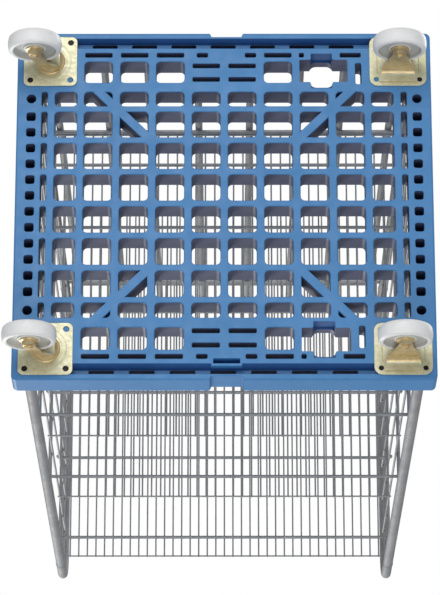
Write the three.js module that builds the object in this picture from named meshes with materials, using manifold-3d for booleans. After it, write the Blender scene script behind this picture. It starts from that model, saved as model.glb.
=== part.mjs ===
// Roll cage container: a moulded deck on two swivel and two fixed castors,
// two tubular side frames, a back grille, an open front and three wire shelves.
// Millimetres, +Z up. The open front faces -Y and the swivel castors stand at +X.
// The origin is on the floor, under the middle of the overall footprint.
import * as THREE from 'three';
import { mergeVertices } from 'three/addons/utils/BufferGeometryUtils.js';
import Module from 'manifold-3d';

const wasm = await Module();
wasm.setup();

// ---- general ----
const GAP = 0.3;
const OFFSET_X = -7.25;

// ---- deck ----
const DECK_X = 407.5;
const DECK_Y = 362;
const DECK_Z = 135;
const DECK_RIB_TOP = 57;
const DECK_RIM_TOP = 67;
const RIM_WALL = 8;
const DECK_CORNER = 10;
const COLUMN_PITCH = 70.7;
const HOLE_W = 56.5;
const ROW_PITCH = 66.5;
const HOLE_H = 54.5;
const HALF_ROW_Y = 220.5;
const HALF_ROW_H = 32;
const END_ROW_Y = 278;
const END_ROW_H = 46.5;
const SLOT_ROW_Y = 314.5;
const SLOT_W = 55;
const SLOT_H = 10.5;
const MID_SLOT_SHIFT = [-15.5, 13.5];
const SHORT_SLOT_X = 47.5;
const SHORT_SLOT_W = 23;
const NARROW_X = 311;
const NARROW_W = 45;
const EDGE_SLOT_X = 353;
const EDGE_SLOT_W = 12.5;
const DIAGONAL_RIB_W = 14;
const DIAGONAL_COLUMN = 2.5;
const DIAGONAL_SHIFT = 20;
const DIAGONAL_LENGTH = 155;
const POCKET_X = 379;
const POCKET_SIZE = 18.5;
const POCKET_DEEP = 42;
const ROUND_POCKET_Y = 221;
const LATCH_Y = 280.5;
const LATCH_X = -195.7;
const LATCH_W = 95.6;
const LATCH_H = 48.5;
const LATCH_OVAL_X = -192;
const LATCH_OVAL_W = 47;
const LATCH_OVAL_H = 66;
const LATCH_OVAL_CORNER = 14;
const LATCH_SEAT_W = 42;
const LATCH_SEAT_H = 74.5;
const LATCH_LEDGE_DEEP = 8;
const LATCH_SEAT_DEEP = 35;
const LATCH_SLIT = { x: -264.5, y: 275, w: 12.5, h: 46 };
const LATCH_SLOTS = [
  [-249, 42.5],
  [-152.6, 10.5],
];
const GROOVE_HALF_X = 392;
const GROOVE_MOUTH = [329, 350];
const GROOVE_FLOOR = [336.5, 345];
const GROOVE_DEEP = 20;
const GROOVE_SLOT_PITCH = 78;
const GROOVE_SLOT_SHIFT = 2;
const GROOVE_SLOT_W = 50;
const GROOVE_SLOT_H = 7.5;
const GRIP_W = 52.5;
const GRIP_Y = -323.5;
const GRIP_H = 11;
const GRIP_DEEP = 33;
const GRIP_BOSS_W = 60;
const GRIP_BOSS_Y = -334;
const NOTCH_X = -4.5;
const NOTCH_W = 59;
const NOTCH_DEEP = 8;

// ---- castors ----
const CASTOR_X = 342.5;
const CASTOR_Y = 300;
const WHEEL_R = 52.5;
const WHEEL_HALF_W = 16;
const PLATE_THICK = 3;
const SWIVEL_PLATE = 105;
const SWIVEL_CORNER = 11;
const SWIVEL_HOLE_X = 39.5;
const SWIVEL_HOLE_Y = 40;
const SWIVEL_HOLE_R = 5.8;
const TRAIL = 27;
const FIXED_PLATE_X = 112;
const FIXED_PLATE_Y = 105;
const FIXED_CORNER = 16;
const FIXED_HOLE_X = 42.5;
const FIXED_HOLE_Y = 39;
const FIXED_HOLE_R = 5;
const LEG_INNER = 19;
const LEG_THICK = 3;
const AXLE_R = 6;
const AXLE_BORE = 6.4;
const SWIVEL_LEG_END_R = 13;
const FIXED_LEG_END_R = 14;
const FIXED_LEG_HALF_X = 34;
const FOOT_HALF_Y = 45;
const FOOT_FLARE_R = 14;
const CROWN_R = 26;
const RACE_R = 29;

// ---- cage ----
const POST_X = 376.5;
const POST_Y = 337;
const POST_R = 11;
const POST_FOOT_Z = 158;
const POST_TOP_Z = 1540;
const HOOP_Z = 1692.5;
const HOOP_BEND = 70;
const BAR_HALF_X = 3;
const SIDE_WIRE_W = 5;
const SIDE_RAIL_W = 8;
const SIDE_WIRE_PITCH = 80;
const GRILLE_LOW_Z = 226;
const GRILLE_TOP_Z = 1612;
const BACK_Y = 345;
const BACK_TUBE_R = 7.5;
const BACK_TUBE_X = [53, 154, 241, 345];
const BACK_RAIL_R = 4;
const BACK_FOOT_Z = 194;

// ---- shelves ----
const SHELF_Z = { low: 585, mid: 1019, top: 1499 };
const WIRE_COUNT = 37;
const WIRE_PITCH = 19.65;
const WIRE_W = 3.5;
const MAT_FRONT_Y = -331.5;
const MAT_BACK_Y = 332;
const MAT_HALF_X = 360;
const ROD_R = 3.5;
const ROD_Y = [-288, -97, 121, 261];
const REAR_ROD_Y = 330.5;
const REAR_ROD_HALF = 355;
const HOOK_X = 385;
const HOOK_DROP = 14;

// ---- finishes ----
const FINISH = {
  deck_plastic: { color: 0x4f8cc6, roughness: 0.5, metalness: 0.0 },
  plate_zinc: { color: 0xd9d3a0, roughness: 0.38, metalness: 0.85 },
  fork_zinc: { color: 0xbfa56c, roughness: 0.35, metalness: 0.85 },
  wheel_nylon: { color: 0xe8e6e0, roughness: 0.45, metalness: 0.0 },
  tube_steel: { color: 0xa9abad, roughness: 0.4, metalness: 0.85 },
  wire_steel: { color: 0x9a9c9e, roughness: 0.4, metalness: 0.85 },
};

// ---- geometry helpers ----

// Welds the corners, drops empty faces and turns the faces outwards.
function closed(geometry) {
  const bare = geometry.clone();
  bare.deleteAttribute('normal');
  bare.deleteAttribute('uv');
  const welded = mergeVertices(bare, 1e-4);
  const position = welded.getAttribute('position');
  const source = welded.getIndex().array;
  const faces = [];
  const a = new THREE.Vector3();
  const b = new THREE.Vector3();
  const c = new THREE.Vector3();
  let volume = 0;
  for (let i = 0; i < source.length; i += 3) {
    const [p, q, r] = [source[i], source[i + 1], source[i + 2]];
    if (p === q || q === r || p === r) continue;
    faces.push([p, q, r]);
    a.fromBufferAttribute(position, p);
    b.fromBufferAttribute(position, q);
    c.fromBufferAttribute(position, r);
    volume += a.dot(b.cross(c));
  }
  const turned = volume < 0 ? faces.map(([p, q, r]) => [p, r, q]) : faces;
  const result = new THREE.BufferGeometry();
  result.setAttribute('position', position.clone());
  result.setIndex(turned.flat());
  result.computeVertexNormals();
  return result;
}

function toSolid(geometry) {
  const clean = closed(geometry);
  const vertProperties = new Float32Array(clean.getAttribute('position').array);
  const triVerts = new Uint32Array(clean.getIndex().array);
  return new wasm.Manifold(new wasm.Mesh({ numProp: 3, vertProperties, triVerts }));
}

function fromSolid(solid) {
  const data = solid.getMesh();
  const geometry = new THREE.BufferGeometry();
  geometry.setAttribute('position', new THREE.BufferAttribute(new Float32Array(data.vertProperties), 3));
  geometry.setIndex(Array.from(data.triVerts));
  geometry.computeVertexNormals();
  return geometry;
}

function unite(solids) {
  return solids.reduce((sum, solid) => sum.add(solid));
}

function shapeOf(points) {
  return new THREE.Shape(points.map(([x, y]) => new THREE.Vector2(x, y)));
}

function ringPoints(radius, sides, x = 0, y = 0) {
  const points = [];
  for (let i = 0; i < sides; i += 1) {
    const angle = ((i + 0.5) * 2 * Math.PI) / sides;
    points.push([x + radius * Math.cos(angle), y + radius * Math.sin(angle)]);
  }
  return points;
}

function arcPoints(x, y, radius, from, to, steps) {
  const points = [];
  for (let i = 0; i <= steps; i += 1) {
    const angle = THREE.MathUtils.degToRad(from + ((to - from) * i) / steps);
    points.push([x + radius * Math.cos(angle), y + radius * Math.sin(angle)]);
  }
  return points;
}

function roundedRectPoints(halfX, halfY, radius, steps) {
  return [
    ...arcPoints(halfX - radius, halfY - radius, radius, 0, 90, steps),
    ...arcPoints(radius - halfX, halfY - radius, radius, 90, 180, steps),
    ...arcPoints(radius - halfX, radius - halfY, radius, 180, 270, steps),
    ...arcPoints(halfX - radius, radius - halfY, radius, 270, 360, steps),
  ];
}

// A prism standing on z = low.
function prismZ(points, low, high, holes = []) {
  const shape = shapeOf(points);
  shape.holes = holes.map((hole) => new THREE.Path(hole.map(([x, y]) => new THREE.Vector2(x, y))));
  const geometry = new THREE.ExtrudeGeometry(shape, { depth: high - low, bevelEnabled: false, steps: 1 });
  geometry.translate(0, 0, low);
  return geometry;
}

// A prism with its outline in X and Z, between two values of y.
function prismY(points, low, high) {
  const geometry = prismZ(points, 0, high - low);
  geometry.rotateX(Math.PI / 2);
  geometry.translate(0, high, 0);
  return geometry;
}

// A prism with its outline in Y and Z, between two values of x.
function prismX(points, low, high) {
  const geometry = prismZ(points, 0, high - low);
  const turn = new THREE.Matrix4();
  turn.makeBasis(new THREE.Vector3(0, 1, 0), new THREE.Vector3(0, 0, 1), new THREE.Vector3(1, 0, 0));
  geometry.applyMatrix4(turn);
  geometry.translate(low, 0, 0);
  return geometry;
}

function block(sizeX, sizeY, sizeZ, x, y, z) {
  const geometry = new THREE.BoxGeometry(sizeX, sizeY, sizeZ);
  geometry.translate(x, y, z);
  return geometry;
}

// Turned about the Y axis from [radius, y] points.
function turnedY(profile, sides) {
  return new THREE.LatheGeometry(profile.map(([r, y]) => new THREE.Vector2(r, y)), sides);
}

// Turned about the Z axis from [radius, z] points.
function turnedZ(profile, sides) {
  const geometry = turnedY(profile, sides);
  geometry.rotateX(Math.PI / 2);
  return geometry;
}

// A path through given stations, sampled at each of them.
class BentPath extends THREE.Curve {
  constructor(stations) {
    super();
    this.stations = stations.map(([x, y, z]) => new THREE.Vector3(x, y, z));
  }

  stationAt(u) {
    return Math.round(u * (this.stations.length - 1));
  }

  getPointAt(u) {
    return this.stations[this.stationAt(u)].clone();
  }

  getTangentAt(u) {
    const last = this.stations.length - 1;
    const i = this.stationAt(u);
    const before = this.stations[Math.max(i - 1, 0)];
    const here = this.stations[i];
    const after = this.stations[Math.min(i + 1, last)];
    const into = here.clone().sub(before).normalize();
    const out = after.clone().sub(here).normalize();
    return into.add(out).normalize();
  }

  getSpacedPoints() {
    return this.stations.map((station) => station.clone());
  }
}

function bentTube(stations, radius, sides) {
  const path = new BentPath(stations);
  const settings = { steps: stations.length - 1, bevelEnabled: false, extrudePath: path };
  return new THREE.ExtrudeGeometry(shapeOf(ringPoints(radius, sides)), settings);
}

function makeMesh(name, kind, geometry) {
  const material = new THREE.MeshStandardMaterial({ ...FINISH[kind] });
  material.side = THREE.FrontSide;
  const mesh = new THREE.Mesh(closed(geometry), material);
  mesh.name = name;
  return mesh;
}

function makeGroup(name, x, y, z) {
  const holder = new THREE.Group();
  holder.name = name;
  holder.position.set(x, y, z);
  return holder;
}

const group = new THREE.Group();
group.name = 'roll_cage_container';
const body = makeGroup('body', OFFSET_X, 0, 0);
group.add(body);

// ---- deck ----

function deckCell(x, y, w, h) {
  return toSolid(block(w, h, DECK_RIM_TOP + 20, x, y, DECK_RIM_TOP / 2));
}

// Openings of one deck half, for side = -1 (front) or +1 (back).
function deckCells(side) {
  const cells = [];
  for (let column = -3.5; column < 4; column += 1) {
    const x = column * COLUMN_PITCH;
    for (let row = 0; row < 3; row += 1) {
      cells.push(deckCell(x, side * (row + 0.5) * ROW_PITCH, HOLE_W, HOLE_H));
    }
    cells.push(deckCell(x, side * HALF_ROW_Y, HOLE_W, HALF_ROW_H));
  }
  for (const column of [3.5, 2.5, 1.5, -1.5]) {
    cells.push(deckCell(column * COLUMN_PITCH, side * END_ROW_Y, HOLE_W, END_ROW_H));
    cells.push(deckCell(column * COLUMN_PITCH, side * SLOT_ROW_Y, SLOT_W, SLOT_H));
  }
  for (const end of [-1, 1]) {
    for (const shift of MID_SLOT_SHIFT) {
      cells.push(deckCell((end * COLUMN_PITCH) / 2, side * (END_ROW_Y + shift), SLOT_W, SLOT_H));
    }
    cells.push(deckCell(NOTCH_X + end * SHORT_SLOT_X, side * SLOT_ROW_Y, SHORT_SLOT_W, SLOT_H));
    for (let row = 0; row < 3; row += 1) {
      const y = side * (row + 0.5) * ROW_PITCH;
      cells.push(deckCell(end * NARROW_X, y, NARROW_W, HOLE_H));
      cells.push(deckCell(end * EDGE_SLOT_X, y, EDGE_SLOT_W, HOLE_H));
    }
    cells.push(deckCell(end * NARROW_X, side * HALF_ROW_Y, NARROW_W, HALF_ROW_H));
    cells.push(deckCell(end * EDGE_SLOT_X, side * HALF_ROW_Y, EDGE_SLOT_W, HALF_ROW_H));
  }
  return cells;
}

// Small openings around the latch window of one deck half.
function latchSideCells(side) {
  const slots = LATCH_SLOTS.map(([x, w]) => deckCell(x, side * SLOT_ROW_Y, w, SLOT_H));
  return [deckCell(LATCH_SLIT.x, side * LATCH_SLIT.y, LATCH_SLIT.w, LATCH_SLIT.h), ...slots];
}

// Blind pockets along the deck's short edges.
function edgePockets() {
  const pockets = [];
  for (const end of [-1, 1]) {
    for (const side of [-1, 1]) {
      for (let i = 0; i < 6; i += 1) {
        const y = side * (i + 0.5) * (ROW_PITCH / 2);
        pockets.push(toSolid(block(POCKET_SIZE, POCKET_SIZE, 2 * POCKET_DEEP, end * POCKET_X, y, 0)));
      }
      const ring = ringPoints(POCKET_SIZE / 2, 10, end * POCKET_X, side * ROUND_POCKET_Y);
      pockets.push(toSolid(prismZ(ring, -20, POCKET_DEEP)));
    }
  }
  return pockets;
}

// Diagonal ribs that stay standing across the openings near each corner.
function diagonalRibs() {
  const ribs = [];
  const x = DIAGONAL_COLUMN * COLUMN_PITCH + DIAGONAL_SHIFT;
  const y = DIAGONAL_COLUMN * ROW_PITCH + DIAGONAL_SHIFT;
  for (const endX of [-1, 1]) {
    for (const endY of [-1, 1]) {
      const rib = new THREE.BoxGeometry(DIAGONAL_LENGTH, DIAGONAL_RIB_W, DECK_RIM_TOP + 60);
      rib.rotateZ((endX * endY * Math.PI) / 4);
      rib.translate(endX * x, endY * y, 30);
      ribs.push(toSolid(rib));
    }
  }
  return ribs;
}

// Latch window: a rectangle crossed by an oval, with a stepped seat in the underside.
function latchWindow(side) {
  const y = side * LATCH_Y;
  const corner = LATCH_OVAL_CORNER;
  const oval = prismZ(roundedRectPoints(LATCH_OVAL_W / 2, LATCH_OVAL_H / 2, corner, 4), -20, 90);
  oval.translate(LATCH_OVAL_X, y, 0);
  const half = LATCH_SEAT_H / 2;
  const ledge = block(LATCH_SEAT_W, LATCH_SEAT_H, 2 * LATCH_LEDGE_DEEP, LATCH_OVAL_X, y, 0);
  const seat = block(LATCH_SEAT_W, half, 2 * LATCH_SEAT_DEEP, LATCH_OVAL_X, y + half / 2, 0);
  return unite([deckCell(LATCH_X, y, LATCH_W, LATCH_H), toSolid(oval), toSolid(ledge), toSolid(seat)]);
}

// Sloped groove under a long edge, with slots through its floor.
function edgeGroove(side) {
  const section = [
    [side * GROOVE_MOUTH[0], 0],
    [side * GROOVE_MOUTH[0], -10],
    [side * GROOVE_MOUTH[1], -10],
    [side * GROOVE_MOUTH[1], 0],
    [side * GROOVE_FLOOR[1], GROOVE_DEEP],
    [side * GROOVE_FLOOR[0], GROOVE_DEEP],
  ];
  const groove = toSolid(prismX(section, -GROOVE_HALF_X, GROOVE_HALF_X));
  const slots = [];
  for (let i = -3; i <= 3; i += 1) {
    const y = (side * (GROOVE_FLOOR[0] + GROOVE_FLOOR[1])) / 2;
    slots.push(deckCell(i * GROOVE_SLOT_PITCH + GROOVE_SLOT_SHIFT, y, GROOVE_SLOT_W, GROOVE_SLOT_H));
  }
  return unite([groove, ...slots]);
}

// Boss that narrows the front groove behind the hand grip.
function gripBoss() {
  return toSolid(block(GRIP_BOSS_W, -2 * GRIP_BOSS_Y, 3 * GROOVE_DEEP, NOTCH_X, 0, 0));
}

// Blind hand grip in the underside, in the middle of the front edge.
function handGrip() {
  return toSolid(block(GRIP_W, GRIP_H, 2 * GRIP_DEEP, NOTCH_X, GRIP_Y, 0));
}

function makeDeck() {
  const outline = roundedRectPoints(DECK_X, DECK_Y, DECK_CORNER, 3);
  const inside = roundedRectPoints(DECK_X - RIM_WALL, DECK_Y - RIM_WALL, DECK_CORNER - RIM_WALL, 2);
  let deck = toSolid(prismZ(outline, 0, DECK_RIM_TOP));
  deck = deck.subtract(toSolid(prismZ(inside, DECK_RIB_TOP, DECK_RIM_TOP + 10)));
  const cells = unite([...deckCells(-1), ...deckCells(1)]).subtract(unite(diagonalRibs()));
  deck = deck.subtract(cells).subtract(unite(edgePockets()));
  for (const side of [-1, 1]) {
    const notch = block(NOTCH_W, 2 * NOTCH_DEEP, 3 * DECK_RIM_TOP, NOTCH_X, side * DECK_Y, 0);
    deck = deck.subtract(unite([...latchSideCells(side), latchWindow(side)]));
    const groove = side < 0 ? edgeGroove(side).subtract(gripBoss()) : edgeGroove(side);
    deck = deck.subtract(groove).subtract(toSolid(notch));
    for (const end of [-1, 1]) {
      const foot = POST_FOOT_Z - GAP - DECK_Z;
      const ring = ringPoints(POST_R + 0.5, 12, end * POST_X, side * POST_Y);
      deck = deck.subtract(toSolid(prismZ(ring, foot, DECK_RIM_TOP + 10)));
    }
  }
  deck = deck.subtract(handGrip());
  const mesh = makeMesh('deck', 'deck_plastic', fromSolid(deck));
  mesh.position.set(0, 0, DECK_Z);
  return mesh;
}

body.add(makeDeck());

// ---- castors ----

// One half of a profile given from the middle outwards, mirrored to both sides.
function mirrored(half) {
  const other = half.map(([r, y]) => [r, -y]).reverse();
  return [...other, ...half];
}

function wheelGeometry() {
  const half = [
    [WHEEL_R, 5],
    [WHEEL_R - 4, WHEEL_HALF_W - 1],
    [42.5, WHEEL_HALF_W - 0.5],
    [40.5, 6],
    [22.5, 6],
    [20.5, 10],
    [AXLE_BORE, 10],
  ];
  const profile = mirrored(half);
  profile.push(profile[0]);
  return turnedY(profile, 24);
}

function axleGeometry() {
  const cap = 10 + GAP;
  const leg = LEG_INNER + LEG_THICK;
  const profile = [
    [0, -leg - 7.5],
    [6.5, -leg - 7.5],
    [8.5, -leg - GAP],
    [AXLE_R, -leg - GAP],
    [AXLE_R, -LEG_INNER + GAP],
    [13, -LEG_INNER + GAP],
    [18.5, -14],
    [18.5, -cap],
    [AXLE_R, -cap],
  ];
  const other = profile.map(([r, y]) => [r, -y]).reverse();
  return turnedY([...profile, ...other], 10);
}

function castorPlate(halfX, halfY, corner, holeX, holeY, holeR) {
  const holes = [];
  for (const endX of [-1, 1]) {
    for (const endY of [-1, 1]) {
      holes.push(ringPoints(holeR, 10, endX * holeX, endY * holeY));
    }
  }
  return prismZ(roundedRectPoints(halfX, halfY, corner, 4), -PLATE_THICK, -GAP, holes);
}

// Legs and bridge cut from a bent section and a side outline.
function forkFrom(section, outline, axleX) {
  const reach = 90;
  const across = toSolid(prismX(section, -reach, reach));
  const along = toSolid(prismY(outline, -reach, reach));
  const bore = toSolid(prismY(ringPoints(AXLE_BORE, 12, axleX, -AXLE_DROP), -reach, reach));
  return across.intersect(along).subtract(bore);
}

const AXLE_DROP = DECK_Z - WHEEL_R;
const LEG_OUTER = LEG_INNER + LEG_THICK;
const FORK_TOP = -PLATE_THICK - GAP;
const LEG_END = -AXLE_DROP - 15;

// Fixed fork: legs that flare outwards into feet against the plate.
function fixedFork() {
  const flareY = LEG_OUTER + FOOT_FLARE_R;
  const flareZ = FORK_TOP - LEG_THICK - FOOT_FLARE_R;
  const half = [
    [FOOT_HALF_Y, FORK_TOP],
    [FOOT_HALF_Y, FORK_TOP - LEG_THICK],
    ...arcPoints(flareY, flareZ, FOOT_FLARE_R, 90, 180, 3),
    [LEG_OUTER, LEG_END],
    [LEG_INNER, LEG_END],
    [LEG_INNER, FORK_TOP - LEG_THICK],
  ];
  const other = half.map(([y, z]) => [-y, z]).reverse();
  const section = [...half, ...other];
  const outline = [
    [FIXED_LEG_HALF_X, FORK_TOP + 1],
    [FIXED_LEG_HALF_X, FORK_TOP - 6],
    ...arcPoints(0, -AXLE_DROP, FIXED_LEG_END_R, 15, -195, 8),
    [-FIXED_LEG_HALF_X, FORK_TOP - 6],
    [-FIXED_LEG_HALF_X, FORK_TOP + 1],
  ];
  return fromSolid(forkFrom(section, outline, 0));
}

// Swivel fork: a round crown under the race, with legs that lean back to the axle.
const CROWN_TOP = FORK_TOP - 3.5;
const CROWN_LOW = -25;
const PIN_R = 6;

function swivelFork() {
  const half = [
    [LEG_OUTER - 4, CROWN_TOP - 3],
    [LEG_OUTER, CROWN_TOP - 8],
    [LEG_OUTER, LEG_END],
    [LEG_INNER, LEG_END],
    [LEG_INNER, CROWN_LOW + 1],
  ];
  const other = half.map(([y, z]) => [-y, z]).reverse();
  const section = [...half, ...other];
  const outline = [
    [-16, CROWN_TOP - 2],
    [-20.5, CROWN_TOP - 12],
    [-18.5, -26],
    [-8, -32.5],
    [1, -39],
    [5.5, -48],
    [8.5, -60],
    ...arcPoints(TRAIL, -AXLE_DROP, SWIVEL_LEG_END_R, 150, 370, 8),
    [33, -60],
    [27.5, -45],
    [23, -30],
    [21, CROWN_TOP - 12],
    [16, CROWN_TOP - 2],
  ];
  const legs = forkFrom(section, outline, TRAIL);
  const crown = turnedZ(
    [
      [0, CROWN_LOW],
      [16, CROWN_LOW],
      [22, CROWN_LOW + 4],
      [CROWN_R, CROWN_LOW + 11],
      [CROWN_R, CROWN_TOP - 1],
      [24, CROWN_TOP],
      [0, CROWN_TOP],
    ],
    16,
  );
  const bore = toSolid(prismZ(ringPoints(PIN_R + 0.4, 12), -60, 0));
  return fromSolid(legs.add(toSolid(crown)).subtract(bore));
}

function swivelPin() {
  const profile = [
    [0, CROWN_LOW - 3.2],
    [7, CROWN_LOW - 3.2],
    [9.5, CROWN_LOW - GAP],
    [PIN_R, CROWN_LOW - GAP],
    [PIN_R, CROWN_TOP + GAP],
    [27, CROWN_TOP + GAP],
    [RACE_R, FORK_TOP],
    [0, FORK_TOP],
  ];
  return turnedZ(profile, 16);
}

function addAxleAndWheel(castor, prefix, axleX) {
  const axle = makeMesh(`${prefix}_axle`, 'fork_zinc', axleGeometry());
  axle.position.set(axleX, 0, -AXLE_DROP);
  const wheel = makeMesh(`${prefix}_wheel`, 'wheel_nylon', wheelGeometry());
  wheel.position.set(axleX, 0, -AXLE_DROP);
  castor.add(axle, wheel);
}

function addSwivelCastor(prefix, side) {
  const castor = makeGroup(`${prefix}_castor`, CASTOR_X, side * CASTOR_Y, DECK_Z);
  const half = SWIVEL_PLATE / 2;
  const plate = castorPlate(half, half, SWIVEL_CORNER, SWIVEL_HOLE_X, SWIVEL_HOLE_Y, SWIVEL_HOLE_R);
  castor.add(makeMesh(`${prefix}_plate`, 'plate_zinc', plate));
  castor.add(makeMesh(`${prefix}_pin`, 'fork_zinc', swivelPin()));
  castor.add(makeMesh(`${prefix}_fork`, 'fork_zinc', swivelFork()));
  addAxleAndWheel(castor, prefix, TRAIL);
  body.add(castor);
}

function addFixedCastor(prefix, side) {
  const castor = makeGroup(`${prefix}_castor`, -CASTOR_X, side * CASTOR_Y, DECK_Z);
  const halfX = FIXED_PLATE_X / 2;
  const halfY = FIXED_PLATE_Y / 2;
  const plate = castorPlate(halfX, halfY, FIXED_CORNER, FIXED_HOLE_X, FIXED_HOLE_Y, FIXED_HOLE_R);
  castor.add(makeMesh(`${prefix}_plate`, 'plate_zinc', plate));
  castor.add(makeMesh(`${prefix}_fork`, 'fork_zinc', fixedFork()));
  addAxleAndWheel(castor, prefix, 0);
  body.add(castor);
}

addSwivelCastor('swivel_front', -1);
addSwivelCastor('swivel_back', 1);
addFixedCastor('fixed_front', -1);
addFixedCastor('fixed_back', 1);

// ---- side frames ----

const RAIL_BELOW_WIRE = WIRE_W / 2 + 2 * ROD_R + 2 * GAP + SIDE_RAIL_W / 2;
const SHELF_NAMES = Object.keys(SHELF_Z);
const RAIL_Z = [GRILLE_LOW_Z, ...SHELF_NAMES.map((name) => SHELF_Z[name] - RAIL_BELOW_WIRE), GRILLE_TOP_Z];

function hoopGeometry() {
  const low = POST_TOP_Z + GAP;
  const bendZ = HOOP_Z - HOOP_BEND;
  const stations = [[0, -POST_Y, low]];
  for (const [y, z] of arcPoints(HOOP_BEND - POST_Y, bendZ, HOOP_BEND, 180, 90, 5)) {
    stations.push([0, y, z]);
  }
  for (const [y, z] of arcPoints(POST_Y - HOOP_BEND, bendZ, HOOP_BEND, 90, 0, 5)) {
    stations.push([0, y, z]);
  }
  stations.push([0, POST_Y, low]);
  return bentTube(stations, POST_R, 12);
}

// Flat welded grille in the plane of a side frame.
function sideGrille() {
  const endY = POST_Y - POST_R - GAP;
  const low = RAIL_Z[0] - SIDE_RAIL_W / 2;
  const high = RAIL_Z[RAIL_Z.length - 1] + SIDE_RAIL_W / 2;
  const edges = [-endY + SIDE_WIRE_W / 2];
  for (let i = -3; i <= 3; i += 1) {
    edges.push(i * SIDE_WIRE_PITCH);
  }
  edges.push(endY - SIDE_WIRE_W / 2);
  const gaps = [];
  for (let row = 0; row + 1 < RAIL_Z.length; row += 1) {
    for (let i = 0; i + 1 < edges.length; i += 1) {
      const sizeY = edges[i + 1] - edges[i] - SIDE_WIRE_W;
      const sizeZ = RAIL_Z[row + 1] - RAIL_Z[row] - SIDE_RAIL_W;
      const y = (edges[i] + edges[i + 1]) / 2;
      const z = (RAIL_Z[row] + RAIL_Z[row + 1]) / 2;
      gaps.push(toSolid(block(20, sizeY, sizeZ, 0, y, z)));
    }
  }
  const sheet = toSolid(block(2 * BAR_HALF_X, 2 * endY, high - low, 0, 0, (low + high) / 2));
  return fromSolid(sheet.subtract(unite(gaps)));
}

for (const [sideName, end] of [['right', 1], ['left', -1]]) {
  const frame = makeGroup(`side_${sideName}`, end * POST_X, 0, 0);
  for (const [endName, side] of [['front', -1], ['back', 1]]) {
    const tube = prismZ(ringPoints(POST_R, 12), POST_FOOT_Z, POST_TOP_Z);
    const post = makeMesh(`post_${sideName}_${endName}`, 'tube_steel', tube);
    post.position.set(0, side * POST_Y, 0);
    frame.add(post);
  }
  frame.add(makeMesh(`hoop_${sideName}`, 'tube_steel', hoopGeometry()));
  frame.add(makeMesh(`grille_${sideName}`, 'wire_steel', sideGrille()));
  body.add(frame);
}

// ---- back grille ----

const back = makeGroup('back', 0, BACK_Y, 0);
const tubeX = [...BACK_TUBE_X.map((x) => -x).reverse(), ...BACK_TUBE_X];
tubeX.forEach((x, i) => {
  const tube = prismZ(ringPoints(BACK_TUBE_R, 8), BACK_FOOT_Z, GRILLE_TOP_Z + BACK_RAIL_R);
  const mesh = makeMesh(`back_tube_${i + 1}`, 'tube_steel', tube);
  mesh.position.set(x, 0, 0);
  back.add(mesh);
});
RAIL_Z.forEach((z, i) => {
  const halfX = POST_X - POST_R - GAP;
  const rail = prismX(ringPoints(BACK_RAIL_R, 6), -halfX, halfX);
  const mesh = makeMesh(`back_rail_${i + 1}`, 'wire_steel', rail);
  mesh.position.set(0, -BACK_TUBE_R - BACK_RAIL_R - GAP, z);
  back.add(mesh);
});
body.add(back);

// ---- shelves ----

// Front-to-back wires between two thin cross bars, all in one plane.
function shelfMat() {
  const backY = MAT_BACK_Y - WIRE_W / 2;
  const length = backY - MAT_FRONT_Y;
  const middle = (backY + MAT_FRONT_Y) / 2;
  const outerX = (WIRE_PITCH * (WIRE_COUNT - 1) + WIRE_W) / 2;
  const gaps = [];
  for (let i = 0; i + 1 < WIRE_COUNT; i += 1) {
    const x = (i - (WIRE_COUNT - 2) / 2) * WIRE_PITCH;
    gaps.push(toSolid(block(WIRE_PITCH - WIRE_W, length - WIRE_W, 20, x, middle, 0)));
  }
  const sheet = toSolid(block(2 * outerX, length + WIRE_W, WIRE_W, 0, middle, 0));
  const bars = [MAT_FRONT_Y, backY].map((y) => toSolid(block(2 * MAT_HALF_X, WIRE_W, WIRE_W, 0, y, 0)));
  return fromSolid(unite([sheet.subtract(unite(gaps)), ...bars]));
}

// Cross rod whose ends turn down outside the side rails.
function hookedRod() {
  const bend = 4;
  const stations = [
    [-HOOK_X, 0, -HOOK_DROP],
    [-HOOK_X, 0, -bend],
    [-HOOK_X + bend, 0, 0],
    [HOOK_X - bend, 0, 0],
    [HOOK_X, 0, -bend],
    [HOOK_X, 0, -HOOK_DROP],
  ];
  return bentTube(stations, ROD_R, 6);
}

function rearRod() {
  return bentTube([[-REAR_ROD_HALF, 0, 0], [REAR_ROD_HALF, 0, 0]], ROD_R, 6);
}

for (const level of SHELF_NAMES) {
  const shelf = makeGroup(`shelf_${level}`, 0, 0, SHELF_Z[level]);
  shelf.add(makeMesh(`shelf_${level}_mat`, 'wire_steel', shelfMat()));
  const rodZ = -WIRE_W / 2 - GAP - ROD_R;
  [...ROD_Y, REAR_ROD_Y].forEach((y, i) => {
    const shapeOfRod = y === REAR_ROD_Y ? rearRod() : hookedRod();
    const rod = makeMesh(`shelf_${level}_rod_${i + 1}`, 'wire_steel', shapeOfRod);
    rod.position.set(0, y, rodZ);
    shelf.add(rod);
  });
  body.add(shelf);
}

export default group;
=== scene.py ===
"""Roll cage container: the looks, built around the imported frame. Metres, in the frame's axes."""
import math

import bmesh
import bpy
from mathutils import Matrix, Vector


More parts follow.
